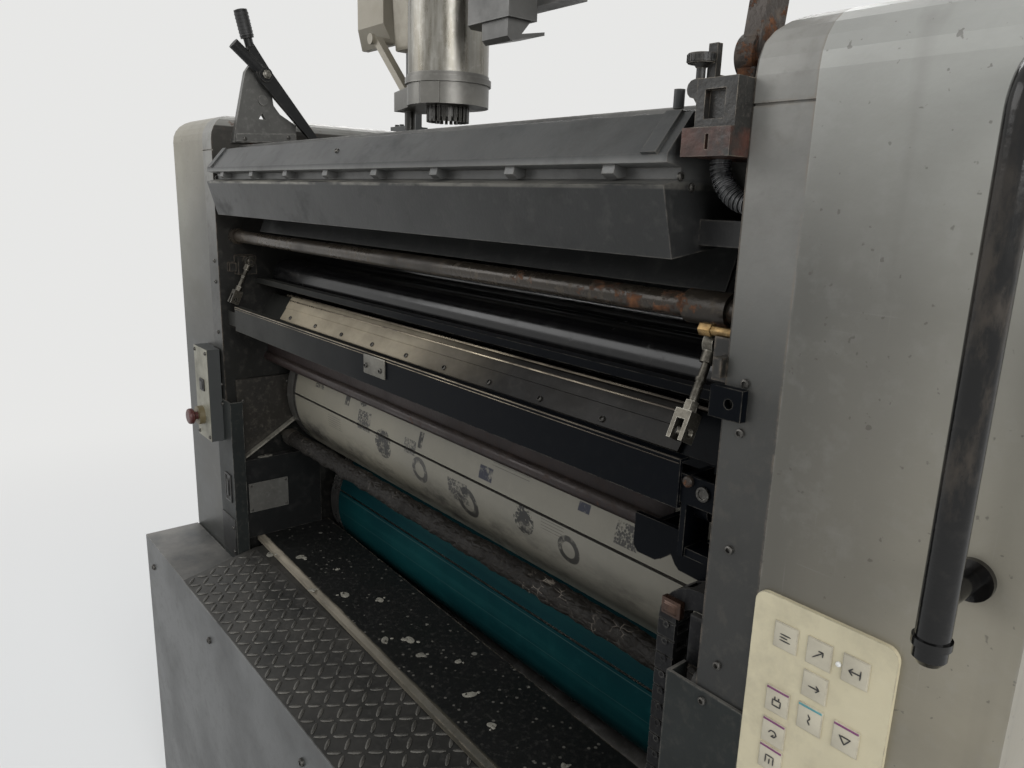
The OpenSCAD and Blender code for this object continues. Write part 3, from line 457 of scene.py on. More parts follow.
def drop(piece):
    """Removes a pattern piece once its copies are made."""
    bpy.data.objects.remove(piece)


def facing(place, towards):
    """Matrix that puts a piece drawn along +Z at a place, turned towards a direction."""
    turn = Vector((0, 0, 1)).rotation_difference(Vector(towards)).to_matrix().to_4x4()
    return Matrix.Translation(place) @ turn


screw_steel, tree, shader = new_material("screw_steel", 0.8)
dirt = apply_group(tree, grime, Color=(0.075, 0.072, 0.066, 1), Dark=(0.015, 0.014, 0.012, 1),
                   Pale=(0.30, 0.29, 0.27, 1), Amount=0.9, Scale=9.0)
edges = apply_group(tree, wear, Color=dirt["Color"], Bare=(0.36, 0.34, 0.31, 1), Width=0.0008, Amount=0.8)
tree.links.new(edges["Color"], shader.inputs["Base Color"])
roughen(tree, shader, dirt["Mask"], 0.35, 0.65)


def socket_screw(radius, head):
    """Cap screw with a round sunk socket and a rounded rim, drawn along +Z from its seat."""
    piece = begin("screw_pattern", bpy.ops.mesh.primitive_cylinder_add, (0, 0, head / 2), vertices=24,
                  radius=radius, depth=head)
    pick(piece, lambda middle, normal: normal.z > 0.9)
    bpy.ops.mesh.bevel(offset=head * 0.22, segments=2, affect="EDGES")
    pick(piece, lambda middle, normal: normal.z > 0.9 and middle.z > head * 0.95)
    bpy.ops.mesh.inset(thickness=radius * 0.36, depth=0)
    pull((0, 0, -head * 0.6))
    return piece


housing_screw = socket_screw(0.0036, 0.0024)
places = []
for x, z in ((598.6, 620.5), (598.4, 580.3), (599.8, 480.8), (599.8, 374.3), (590.6, 336.0)):
    lift = -3 if z < 345 else 0
    for side in (1, -1):
        places.append(facing(spot(side * x, lift, z), (0, -1, 0)))
front_screws = repeat(housing_screw, "housing_screws", places)
end_piece(front_screws, screw_steel)
side_places = []
for side in (1, -1):
    for z in (-560, -40, 40, 780):
        for y in (85, 555):
            side_places.append(facing(Vector((side * OUTER_X, FRONT + y / 1000, WALK + z / 1000)), (side, 0, 0)))
side_screws = repeat(housing_screw, "side_cover_screws", side_places)
end_piece(side_screws, screw_steel)
drop(housing_screw)

# Side frames: cast walls between the housings and the rollers, brown with old ink, and rusty along
# their inner top edges where the paint has gone.
frame_paint, tree, shader = new_material("frame_paint", 0.2)
parts = new_node(tree, "SeparateXYZ", Vector=stretched(tree, (1, 1, 1)))
height = parts.outputs["Z"]
wavy = times(tree, height, times(tree, noise(tree, 3.0, 4.0), 0.12), "ADD")
# Both faces darken towards the bottom, partly from old ink and partly as painted shade, as on the housings.
lower = mix_colour(tree, spread(tree, wavy, WALK + 0.36, WALK + 0.62), (0.010, 0.0105, 0.010, 1),
                   (0.048, 0.048, 0.044, 1))
front_tone = mix_colour(tree, spread(tree, wavy, WALK + 0.66, WALK + 0.96), lower, (0.340, 0.334, 0.308, 1))
outside = spread(tree, times(tree, parts.outputs["X"], 0.0, "ABSOLUTE"), HALF_IN + 0.0008, HALF_IN + 0.0016)
wall = mix_colour(tree, spread(tree, wavy, WALK + 0.66, WALK + 0.86), (0.008, 0.008, 0.007, 1),
                  (0.032, 0.029, 0.024, 1))
ground = mix_colour(tree, outside, wall, front_tone)
dirt = apply_group(tree, grime, Color=ground, Dark=(0.010, 0.009, 0.008, 1), Pale=(0.13, 0.115, 0.095, 1),
                   Amount=0.4, Scale=1.8)
near_edge = spread(tree, times(tree, parts.outputs["X"], 0.0, "ABSOLUTE"), HALF_IN + 0.020, HALF_IN + 0.002)
top_share = times(tree, spread(tree, height, WALK + 0.66, WALK + 0.84, 0.10, 0.50), near_edge)
oxide = apply_group(tree, rusting, Color=dirt["Color"], Amount=top_share, Scale=16.0)
worn = apply_group(tree, wear, Color=oxide["Color"], Bare=(0.20, 0.16, 0.12, 1), Width=0.004, Amount=0.7)
dust = apply_group(tree, dusting, Color=worn["Color"], Dust=(0.16, 0.14, 0.11, 1), Amount=0.35)
tree.links.new(dust["Color"], shader.inputs["Base Color"])
roughen(tree, shader, times(tree, dirt["Mask"], oxide["Mask"], "ADD"), 0.40, 0.75)
bump(tree, shader, times(tree, oxide["Height"], noise(tree, 220.0, 3.0), "ADD"), 0.25, 0.0008)
dress(frame_paint, "side_frame_left", "side_frame_right")
trim_paint = painted("trim_paint", (0.024, 0.027, 0.026, 1), (0.010, 0.010, 0.010, 1), (0.09, 0.083, 0.073, 1),
                     amount=0.6, scale=2.0, dust=0.4, edge=(0.17, 0.16, 0.14, 1), gloss=0.35)
trim_paint.node_tree.nodes["Principled BSDF"].inputs["Specular IOR Level"].default_value = 0.12
dress(trim_paint, "lower_trim_left", "lower_trim_right")

# Bed, apron, covers and portal: dark painted plate that carries the walkway and closes the back.
# The rear and side covers are held by screws along their rims.
dark_paint = painted("dark_paint", (0.055, 0.058, 0.057, 1), (0.018, 0.018, 0.018, 1), (0.14, 0.135, 0.125, 1),
                     amount=0.5, scale=1.5, dust=0.5, edge=(0.24, 0.23, 0.21, 1))
dress(dark_paint, "bed_plate", "front_apron", "rear_cover", "top_cover", "gantry")
rear_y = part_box("rear_cover")[1][1]
upper_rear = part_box("top_cover")[1][1]
cover_screw = socket_screw(0.0065, 0.004)
places = []
for x in (-540, -290, -30, 30, 290, 540):
    for z in (90, 420, 800):
        places.append(facing(Vector((x / 1000, upper_rear, WALK + z / 1000)), (0, 1, 0)))
    for z in (0.10, 0.38, 0.66):
        places.append(facing(Vector((x / 1000, rear_y, z)), (0, 1, 0)))
rear_screws = repeat(cover_screw, "rear_cover_screws", places)
end_piece(rear_screws, screw_steel)
places = []
for x in (-760, -400, 0, 400, 760):
    for z in (0.10, 0.64):
        places.append(facing(Vector((x / 1000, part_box("front_apron")[0][1], z)), (0, -1, 0)))
apron_screws = repeat(cover_screw, "apron_screws", places)
end_piece(apron_screws, screw_steel)
drop(cover_screw)

# Tread ramp and step board: a rolled tread sheet with lens-shaped bars leads up to a black film-faced board,
# which lies loose and crooked, with a worn pale nosing and paint spatters on its top.
tread_paint = painted("tread_paint", (0.026, 0.026, 0.024, 1), (0.012, 0.012, 0.012, 1), (0.12, 0.115, 0.105, 1),
                      amount=0.8, scale=3.0, dust=0.35, dust_colour=(0.13, 0.12, 0.105, 1),
                      edge=(0.24, 0.23, 0.20, 1), edge_width=0.002, metallic=0.2, roughness=(0.34, 0.6),
                      gloss=0.35)
dress(tread_paint, "tread_ramp")
tree = tread_paint.node_tree
shader = tree.nodes["Principled BSDF"]
tread_before_shade = shader.inputs["Base Color"].links[0].from_socket
# Painted shade: the tread darkens towards its right end.
across = new_node(tree, "SeparateXYZ", Vector=stretched(tree, (1, 1, 1))).outputs["X"]
tree.links.new(mix_colour(tree, spread(tree, across, -0.35, 0.30, 0.0, 0.75), tread_before_shade, (0.008, 0.008, 0.007, 1)),
               shader.inputs["Base Color"])
bar_paint = painted("tread_bars", (0.065, 0.063, 0.056, 1), (0.016, 0.016, 0.015, 1), (0.22, 0.21, 0.18, 1),
                    amount=0.9, scale=6.0, dust=0.2, edge=(0.36, 0.34, 0.30, 1), edge_width=0.0015,
                    metallic=0.45, roughness=(0.3, 0.5))
lens = begin("lens_pattern", bpy.ops.mesh.primitive_cylinder_add, (0, 0, 0.0006), size=(0.0105, 0.0029, 1),
             vertices=10, radius=1, depth=0.0012)
pick(lens, lambda middle, normal: normal.z > 0.9)
pull((0, 0, 0.0007))
bpy.ops.transform.resize(value=(0.72, 0.35, 1))
ramp_low, ramp_high = spot(0, -114, 0), spot(0, 28, 29.2)
slope = (ramp_high - ramp_low).normalized()
ramp_up = Vector((1, 0, 0)).cross(slope)
ramp_frame = Matrix((Vector((1, 0, 0)), slope, ramp_up)).transposed().to_4x4()
PITCH = 0.021
places = []
for row in range(7):
    for column in range(51):
        along = (row + 0.45) * PITCH
        x = -0.527 + column * PITCH
        turn = math.radians(45 if (row + column) % 2 else -45)
        place = Matrix.Translation(ramp_low + slope * along + Vector((x, 0, 0)) + ramp_up * 0.0002)
        places.append(place @ ramp_frame @ Matrix.Rotation(turn, 4, "Z"))
tread = repeat(lens, "tread_bars", places)
end_piece(tread, bar_paint, bend=50)
drop(lens)

def window(tree, value, low, high, soft=0.0006):
    """Mask of one where a value lies between two limits."""
    above = spread(tree, value, low - soft, low + soft)
    below = spread(tree, value, high + soft, high - soft)
    return times(tree, above, below)


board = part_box("step_board")
BOARD_TOP = board[1][2]
BOARD_TURN = math.radians(-2.2)
NOSE_AT = -0.068
board_film, tree, shader = new_material("board_film", 0.0, Specular_IOR_Level=0.25)
place = new_node(tree, "Mapping", Vector=stretched(tree, (1, 1, 1), None), Location=(0, -(FRONT + 0.106), 0))
turned = new_node(tree, "Mapping", Vector=place.outputs[0], Rotation=(0, 0, -BOARD_TURN))
along = new_node(tree, "SeparateXYZ", Vector=turned.outputs[0]).outputs["Y"]
dirt = apply_group(tree, grime, Color=(0.010, 0.0105, 0.010, 1), Dark=(0.004, 0.004, 0.004, 1),
                   Pale=(0.050, 0.048, 0.042, 1), Amount=0.9, Scale=3.0)
drops = new_node(tree, "TexVoronoi", Vector=stretched(tree, (1, 1, 1)), Scale=34.0, Randomness=1.0)
chance = new_node(tree, "SeparateColor", Color=drops.outputs["Color"]).outputs["Red"]
radius = spread(tree, chance, 0.82, 1.0, 0.0, 0.24)
wobble = times(tree, drops.outputs["Distance"], times(tree, noise(tree, 240.0, 3.0), 0.16), "ADD")
spatter = spread(tree, times(tree, radius, wobble, "SUBTRACT"), -0.075, -0.045)
small = new_node(tree, "TexVoronoi", Vector=stretched(tree, (1, 1, 1)), Scale=120.0)
rare = spread(tree, new_node(tree, "SeparateColor", Color=small.outputs["Color"]).outputs["Green"], 0.86, 0.9)
dots = times(tree, rare, spread(tree, small.outputs["Distance"], 0.34, 0.22))
spattered = mix_colour(tree, times(tree, spatter, 0.8), dirt["Color"], (0.24, 0.23, 0.20, 1))
dotted = mix_colour(tree, times(tree, dots, 0.6), spattered, (0.20, 0.19, 0.165, 1))
nose = spread(tree, times(tree, along, times(tree, noise(tree, 26.0, 5.0, 0.6), 0.006), "ADD"),
              NOSE_AT + 0.0045, NOSE_AT + 0.0015)
scuff = spread(tree, noise(tree, 60.0, 5.0, 0.6, (0.12, 1, 1)), 0.42, 0.66)
# The worn nosing shows pale bare wood, with painted shade darkening it towards the right.
to_right = new_node(tree, "SeparateXYZ", Vector=turned.outputs[0]).outputs["X"]
bare_wood_and_shade = mix_colour(tree, spread(tree, to_right, -0.35, 0.35), (0.34, 0.30, 0.23, 1), (0.085, 0.078, 0.06, 1))
nose_wear_and_shade = mix_colour(tree, times(tree, scuff, 0.6), bare_wood_and_shade, (0.05, 0.045, 0.036, 1))
across = new_node(tree, "SeparateXYZ", Vector=stretched(tree, (1, 1, 1))).outputs["X"]
nose_wear_and_shade = mix_colour(tree, spread(tree, across, -0.45, 0.30, 0.0, 0.85), nose_wear_and_shade, (0.020, 0.019, 0.013, 1))
worn = mix_colour(tree, nose, dotted, nose_wear_and_shade)
edges = apply_group(tree, wear, Color=worn, Bare=(0.24, 0.20, 0.15, 1), Width=0.004, Amount=0.7)
tree.links.new(edges["Color"], shader.inputs["Base Color"])
roughen(tree, shader, dirt["Mask"], 0.42, 0.75)
bump(tree, shader, times(tree, noise(tree, 420.0, 3.0), spatter, "ADD"), 0.3, 0.0008)
dress(board_film, "step_board")

spatter_paint, tree, shader = new_material("dried_spatter", 0.0)
dirt = apply_group(tree, grime, Color=(0.30, 0.285, 0.24, 1), Dark=(0.09, 0.085, 0.07, 1),
                   Pale=(0.48, 0.46, 0.40, 1), Amount=0.9, Scale=12.0)
tree.links.new(dirt["Color"], shader.inputs["Base Color"])
roughen(tree, shader, dirt["Mask"], 0.45, 0.8)
bump(tree, shader, noise(tree, 300.0, 4.0), 0.4, 0.0005)
random.seed(11)
blob = begin("blob_pattern", bpy.ops.mesh.primitive_cylinder_add, (0, 0, 0.0003), vertices=16, radius=1,
             depth=0.0006)
pick(blob, lambda middle, normal: normal.z > 0.9)
pull((0, 0, 0.0006))
bpy.ops.transform.resize(value=(0.7, 0.7, 1))
bpy.ops.object.mode_set(mode="OBJECT")
places = []
for x, y, r in ((-464, 30, 7), (-421, 75, 9), (-284, 36, 6), (-232, 76, 8), (-179, 118, 6), (-61, 59, 7),
                (-37, 92, 9), (9, 82, 7), (138, 86, 8), (-330, 110, 4), (60, 120, 5), (210, 70, 6), (330, 95, 5)):
    for part in range(3):
        turn = random.uniform(0, 6.28)
        size = r / 1000 * (1, 0.55, 0.3)[part]
        away = Vector((math.cos(turn), math.sin(turn), 0)) * r / 1000 * (0, 0.9, 1.7)[part]
        place = Matrix.Translation(Vector((x / 1000, FRONT + y / 1000, BOARD_TOP - 0.0001)) + away)
        stretch = Matrix.Diagonal((size * random.uniform(1.0, 1.5), size * random.uniform(0.7, 1.0), 1, 1))
        places.append(place @ Matrix.Rotation(turn, 4, "Z") @ stretch)
block_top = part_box("side_block_left")[1][2]
for y, size in ((64, 0.0066), (73, 0.0074), (81, 0.0050)):
    place = Matrix.Translation(Vector((-0.5708, FRONT + y / 1000, block_top - 0.0001)))
    places.append(place @ Matrix.Diagonal((size, size * 1.3, 1.4, 1)))
spots = repeat(blob, "board_spatters", places)
end_piece(spots, spatter_paint, bend=60)
drop(blob)

# Cylinders: ground steel bodies with bearer rings, dull with ink film at their ends.
# The plate is aluminium with a used ink image, the blanket teal rubber cloth.
steel, tree, shader = new_material("ground_steel", 0.85, 0.32)
dirt = apply_group(tree, grime, Color=(0.30, 0.29, 0.27, 1), Dark=(0.05, 0.045, 0.04, 1), Pale=(0.5, 0.49, 0.47, 1),
                   Amount=0.7, Scale=1.5)
turning_marks = spread(tree, noise(tree, 420.0, 2.0, 0.4, (1, 0.02, 0.02)), 0.3, 0.7, 0.8, 1.0)
tree.links.new(mix_colour(tree, turning_marks, (0.14, 0.13, 0.12, 1), dirt["Color"]), shader.inputs["Base Color"])
roughen(tree, shader, dirt["Mask"], 0.26, 0.55)
bump(tree, shader, noise(tree, 420.0, 2.0, 0.4, (1, 0.02, 0.02)), 0.08, 0.0003)
dress(steel, "plate_cylinder", "blanket_cylinder", "impression_cylinder", "duct_roller")

plate_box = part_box("printing_plate")
PLATE_MIDDLE = (Vector(plate_box[0]) + Vector(plate_box[1])) / 2
PLATE_R = plate_box[1][2] - PLATE_MIDDLE.z
plate_metal, tree, shader = new_material("plate_metal", 0.2, Specular_IOR_Level=0.3)
parts = new_node(tree, "SeparateXYZ", Vector=stretched(tree, (1, 1, 1)))
deep = times(tree, PLATE_MIDDLE.y, parts.outputs["Y"], "SUBTRACT")
tall = times(tree, parts.outputs["Z"], PLATE_MIDDLE.z, "SUBTRACT")
girth = times(tree, times(tree, tall, deep, "ARCTAN2"), PLATE_R)
wide = parts.outputs["X"]
flat_place = new_node(tree, "CombineXYZ", X=wide, Y=girth, Z=0.0).outputs[0]
# Painted light: the plate is paler towards its left end and darker towards its right.
plate_lit_to_left = mix_colour(tree, spread(tree, wide, -0.45, -0.05), (0.36, 0.325, 0.24, 1), (0.200, 0.187, 0.150, 1))
dirt = apply_group(tree, grime, Color=plate_lit_to_left, Dark=(0.10, 0.095, 0.08, 1), Pale=(0.30, 0.28, 0.23, 1), Amount=0.35,
                   Scale=1.2)
colour = dirt["Color"]
tint = spread(tree, noise(tree, 1.6, 3.0), 0.4, 0.65)
colour = mix_colour(tree, times(tree, tint, 0.45), colour, (0.155, 0.153, 0.143, 1))


def in_patch(x, s, w, h):
    """Mask of a rectangle on the plate, by its middle and size along and round the cylinder."""
    return times(tree, window(tree, wide, x - w / 2, x + w / 2), window(tree, girth, s - h / 2, s + h / 2))


def worn_ink(mask, share, colour, ink):
    """Ink left in a mask, broken where it has rubbed off."""
    return mix_colour(tree, times(tree, times(tree, mask, rubbed), share), colour, ink)


rubbed = spread(tree, noise(tree, 70.0, 6.0, 0.65), 0.34, 0.48)
INK, GREY_INK, BLUE_INK = (0.014, 0.0135, 0.013, 1), (0.038, 0.036, 0.034, 1), (0.010, 0.013, 0.028, 1)
for x, s, w, h in ((-0.415, 0.052, 0.034, 0.026), (-0.232, 0.018, 0.044, 0.034), (0.052, -0.022, 0.050, 0.034),
                   (0.385, 0.030, 0.036, 0.028), (-0.080, 0.012, 0.034, 0.024)):
    grain = spread(tree, new_node(tree, "TexVoronoi", Vector=flat_place, Scale=330.0).outputs["Distance"], 0.78, 0.50)
    colour = worn_ink(times(tree, in_patch(x, s, w, h), grain), 0.97, colour, GREY_INK)
for x, s, w, h in ((-0.345, -0.012, 0.052, 0.026), (-0.118, 0.062, 0.070, 0.020), (0.168, 0.050, 0.080, 0.018),
                   (0.262, -0.004, 0.044, 0.022)):
    rule = new_node(tree, "Math", {"operation": "PINGPONG"})
    tree.links.new(girth, rule.inputs[0])
    rule.inputs[1].default_value = 0.0022
    lines = spread(tree, rule.outputs[0], 0.0015, 0.0018)
    colour = worn_ink(times(tree, in_patch(x, s, w, h), lines), 0.6, colour, GREY_INK)
for x, s, w, h, ink in ((0.118, 0.026, 0.030, 0.020, BLUE_INK), (-0.300, 0.046, 0.016, 0.030, INK),
                        (-0.052, 0.030, 0.012, 0.026, INK), (0.312, 0.040, 0.020, 0.012, BLUE_INK),
                        (-0.010, 0.055, 0.024, 0.010, INK)):
    colour = worn_ink(in_patch(x, s, w, h), 0.95, colour, ink)
for x, s, r in ((-0.165, -0.006, 0.026), (0.205, -0.014, 0.021), (-0.245, 0.058, 0.017)):
    off = new_node(tree, "VectorMath", {"operation": "DISTANCE"})
    tree.links.new(flat_place, off.inputs[0])
    off.inputs[1].default_value = (x, s, 0)
    tint_dots = new_node(tree, "TexVoronoi", Vector=flat_place, Scale=300.0).outputs["Distance"]
    fading = spread(tree, off.outputs["Value"], 0.0, r, 0.95, 0.50)
    dots = spread(tree, times(tree, fading, tint_dots, "SUBTRACT"), -0.16, -0.02)
    colour = worn_ink(times(tree, window(tree, off.outputs["Value"], -0.01, r), dots), 0.95, colour, INK)
for x, s, r, ink in ((0.075, -0.034, 0.025, INK), (-0.052, -0.020, 0.022, GREY_INK), (0.292, -0.024, 0.020, INK)):
    off = new_node(tree, "VectorMath", {"operation": "DISTANCE"})
    tree.links.new(flat_place, off.inputs[0])
    off.inputs[1].default_value = (x, s, 0)
    colour = worn_ink(window(tree, off.outputs["Value"], r * 0.58, r), 0.9, colour, ink)
smear = spread(tree, noise(tree, 9.0, 7.0, 0.7, (1.0, 2.0, 2.0)), 0.46, 0.66)
lower = spread(tree, girth, -0.015, -0.055)
colour = mix_colour(tree, times(tree, times(tree, smear, lower), 0.9), colour, (0.03, 0.028, 0.025, 1))
# Painted shade: a dark band round the plate between the guard plate and the rod.
film = window(tree, times(tree, girth, times(tree, noise(tree, 8.0, 5.0), 0.01), "ADD"), 0.093, 0.150, 0.003)
colour = mix_colour(tree, times(tree, film, 0.93), colour, (0.012, 0.010, 0.009, 1))
stain = spread(tree, noise(tree, 14.0, 6.0, 0.65, (0.6, 1, 1)), 0.62, 0.74)
colour = mix_colour(tree, times(tree, stain, 0.35), colour, (0.12, 0.11, 0.09, 1))
edge_line = window(tree, girth, 0.0795, 0.0808, 0.0002)
colour = mix_colour(tree, times(tree, edge_line, 0.5), colour, (0.12, 0.11, 0.10, 1))
tree.links.new(colour, shader.inputs["Base Color"])
roughen(tree, shader, times(tree, smear, lower), 0.40, 0.62)
bump(tree, shader, noise(tree, 700.0, 2.0, 0.4, (0.1, 1, 1)), 0.06, 0.0003)
dress(plate_metal, "printing_plate")

blanket_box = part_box("blanket")
BLANKET_MIDDLE = (Vector(blanket_box[0]) + Vector(blanket_box[1])) / 2
teal, tree, shader = new_material("blanket_rubber", 0.0, Specular_IOR_Level=0.03)
parts = new_node(tree, "SeparateXYZ", Vector=stretched(tree, (1, 1, 1)))
deep = times(tree, BLANKET_MIDDLE.y, parts.outputs["Y"], "SUBTRACT")
tall = times(tree, parts.outputs["Z"], BLANKET_MIDDLE.z, "SUBTRACT")
girth = times(tree, times(tree, tall, deep, "ARCTAN2"), PLATE_R)
dirt = apply_group(tree, grime, Color=(0.006, 0.050, 0.053, 1), Dark=(0.003, 0.018, 0.024, 1),
                   Pale=(0.016, 0.078, 0.080, 1), Amount=0.75, Scale=1.0)
upper_part = spread(tree, times(tree, girth, times(tree, noise(tree, 3.0, 3.0), 0.05), "ADD"), 0.035, 0.075)
colour = mix_colour(tree, times(tree, upper_part, 0.7), dirt["Color"], (0.004, 0.026, 0.032, 1))
for s, share in ((0.028, 0.5), (0.071, 0.35), (-0.012, 0.3)):
    colour = mix_colour(tree, times(tree, window(tree, girth, s, s + 0.0010, 0.0003), share), colour,
                        (0.10, 0.17, 0.16, 1))
streak = spread(tree, noise(tree, 30.0, 4.0, 0.6, (0.03, 1, 1)), 0.52, 0.68)
colour = mix_colour(tree, times(tree, streak, 0.30), colour, (0.02, 0.085, 0.085, 1))
tree.links.new(colour, shader.inputs["Base Color"])
roughen(tree, shader, dirt["Mask"], 0.42, 0.66)
bump(tree, shader, noise(tree, 900.0, 2.0), 0.10, 0.0003)
dress(teal, "blanket")

# Ink rollers: black rubber sleeves on steel spindles, glossy with ink, the drum copper coated under it.
rubber, tree, shader = new_material("roller_rubber", 0.0, Specular_IOR_Level=0.35)
dirt = apply_group(tree, grime, Color=(0.006, 0.006, 0.0065, 1), Dark=(0.002, 0.002, 0.002, 1),
                   Pale=(0.018, 0.017, 0.016, 1), Amount=0.6, Scale=2.0)
rings = spread(tree, noise(tree, 120.0, 3.0, 0.5, (1, 0.02, 0.02)), 0.45, 0.7)
tree.links.new(mix_colour(tree, times(tree, rings, 0.35), dirt["Color"], (0.018, 0.016, 0.015, 1)),
               shader.inputs["Base Color"])
roughen(tree, shader, dirt["Mask"], 0.13, 0.34)
bump(tree, shader, noise(tree, 120.0, 3.0, 0.5, (1, 0.02, 0.02)), 0.05, 0.0004)
dress(rubber, "form_roller_front", "form_roller_rear", "transfer_roller", "front_roller")
copper, tree, shader = new_material("copper_drum", 0.55)
dirt = apply_group(tree, grime, Color=(0.055, 0.028, 0.018, 1), Dark=(0.008, 0.007, 0.007, 1),
                   Pale=(0.12, 0.065, 0.04, 1), Amount=0.9, Scale=2.0)
tree.links.new(dirt["Color"], shader.inputs["Base Color"])
roughen(tree, shader, dirt["Mask"], 0.22, 0.5)
dress(copper, "ink_drum")

# Ink unit cover: folded black sheet across the front, dusty on top, its top rim dented near the right end.
# A worn pale line runs along the recess, and screws hold its end plates.
black_paint = painted("black_paint", (0.013, 0.0135, 0.0135, 1), (0.005, 0.005, 0.005, 1), (0.05, 0.048, 0.044, 1),
                      amount=0.5, dust=0.35, dust_colour=(0.11, 0.105, 0.098, 1), roughness=(0.34, 0.6),
                      edge=(0.13, 0.12, 0.105, 1), edge_width=0.002, gloss=0.3)
cover_paint, tree, shader = new_material("cover_paint", 0.1, Specular_IOR_Level=0.35)
height = new_node(tree, "SeparateXYZ", Vector=stretched(tree, (1, 1, 1))).outputs["Z"]
wavy = times(tree, height, times(tree, noise(tree, 5.0, 4.0), 0.012), "ADD")
up_tone = mix_colour(tree, spread(tree, wavy, WALK + 0.782, WALK + 0.792), (0.022, 0.023, 0.0225, 1),
                     (0.044, 0.046, 0.046, 1))
recess = window(tree, height, WALK + 0.772, WALK + 0.790, 0.003)
up_tone = mix_colour(tree, recess, up_tone, (0.165, 0.165, 0.158, 1))
wide = times(tree, new_node(tree, "SeparateXYZ", Vector=stretched(tree, (1, 1, 1))).outputs["X"], 0.0, "ABSOLUTE")
up_tone = mix_colour(tree, spread(tree, wide, 0.520, 0.535), up_tone, (0.024, 0.024, 0.024, 1))
dirt = apply_group(tree, grime, Color=up_tone, Dark=(0.010, 0.010, 0.010, 1), Pale=(0.095, 0.092, 0.085, 1),
                   Amount=0.5, Scale=1.4)
hands = spread(tree, noise(tree, 6.0, 7.0, 0.68, (1, 1, 1.6)), 0.54, 0.72)
touched = mix_colour(tree, times(tree, hands, 0.4), dirt["Color"], (0.012, 0.012, 0.012, 1))
edges = apply_group(tree, wear, Color=touched, Bare=(0.125, 0.116, 0.100, 1), Width=0.0025, Amount=0.75)
dust = apply_group(tree, dusting, Color=edges["Color"], Dust=(0.10, 0.097, 0.088, 1), Amount=0.45)
tree.links.new(dust["Color"], shader.inputs["Base Color"])
roughen(tree, shader, times(tree, dirt["Mask"], hands, "ADD"), 0.36, 0.6)
bump(tree, shader, times(tree, noise(tree, 260.0, 3.0), times(tree, noise(tree, 14.0, 2.0), 3.0), "ADD"), 0.22,
     0.0008)
line = times(tree, window(tree, height, WALK + 0.7660, WALK + 0.7722, 0.0008),
             spread(tree, noise(tree, 46.0, 5.0, 0.6, (0.4, 1, 1)), 0.38, 0.56))
faded = spread(tree, new_node(tree, "SeparateXYZ", Vector=stretched(tree, (1, 1, 1))).outputs["X"], -0.1, 0.5, 0.8, 0.2)
tree.links.new(mix_colour(tree, times(tree, line, faded), dust["Color"], (0.30, 0.285, 0.245, 1)),
               shader.inputs["Base Color"])
dress(cover_paint, "ink_cover")

COVER_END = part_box("ink_cover")[1][0] - 0.053
rim = start_box("cover_rim", spot(-526, 12.5, 825.6), spot(526, 23, 828.8))
bpy.ops.mesh.select_mode(type="EDGE")
bpy.ops.mesh.select_all(action="DESELECT")
shell = bmesh.from_edit_mesh(rim.data)
for edge_line in shell.edges:
    if abs(edge_line.verts[0].co.x - edge_line.verts[1].co.x) > 0.5:
        edge_line.select_set(True)
bmesh.update_edit_mesh(rim.data)
bpy.ops.mesh.subdivide(number_cuts=140)
bpy.ops.object.mode_set(mode="OBJECT")
for corner in rim.data.vertices:
    x = corner.co.x * 1000
    dent = sum(depth * math.exp(-((x - at) / width) ** 2) for at, width, depth in
               ((436, 16, -3.4), (462, 9, 1.6), (478, 13, -3.0), (405, 22, 1.4), (180, 30, -1.0), (-320, 40, -0.9)))
    corner.co.z += (0.25 * math.sin(x / 37) + 0.2 * math.sin(x / 11.0 + 1) + dent * 0.62) / 1000
    corner.co.y += (dent * 0.9 + 0.3 * math.sin(x / 23)) / 1000
end_piece(rim, cover_paint, bevel=0.0007)

fastener = socket_screw(0.0036, 0.0024)
cover_places = [facing(spot(-51, -13.6, 810), (0, -28, 28.0))]
for y, z in ((-11, 776), (4, 768), (20, 800), (60, 738)):
    cover_places.append(facing(Vector((COVER_END, FRONT + y / 1000, WALK + z / 1000)), (1, 0, 0)))
    cover_places.append(facing(Vector((-COVER_END, FRONT + y / 1000, WALK + z / 1000)), (-1, 0, 0)))
cover_screws = repeat(fastener, "cover_screws", cover_places)
end_piece(cover_screws, screw_steel)

# Guard tube: steel tube across the unit under the cover, oily brown with the rust worst at its right end.
def rusty_tube(name, colour, dark, pale, low_rust, high_rust, x_from, x_to, grain=0.4, metallic=0.3, scale=22.0,
               smooth=0.28):
    """Brown oily steel whose rust grows along X, its colour darkened towards the right by painted shade."""
    material, tree, shader = new_material(name, metallic, Specular_IOR_Level=0.35)
    along = new_node(tree, "SeparateXYZ", Vector=stretched(tree, (1, 1, 1))).outputs["X"]
    # Painted shade: the colour darkens towards the right end.
    darker = mix_colour(tree, spread(tree, along, -0.45, 0.4, 0.0, 0.55), colour, dark)
    dirt = apply_group(tree, grime, Color=darker, Dark=dark, Pale=pale, Amount=0.7, Scale=2.2)
    share = spread(tree, along, x_from, x_to, low_rust, high_rust)
    oxide = apply_group(tree, rusting, Color=dirt["Color"], Amount=share, Scale=scale)
    dust = apply_group(tree, dusting, Color=oxide["Color"], Dust=(0.085, 0.07, 0.053, 1), Amount=0.3)
    tree.links.new(dust["Color"], shader.inputs["Base Color"])
    roughen(tree, shader, times(tree, dirt["Mask"], oxide["Mask"], "ADD"), smooth, 0.75)
    bump(tree, shader, times(tree, oxide["Height"], noise(tree, 150.0, 4.0), "ADD"), grain, 0.001)
    return material


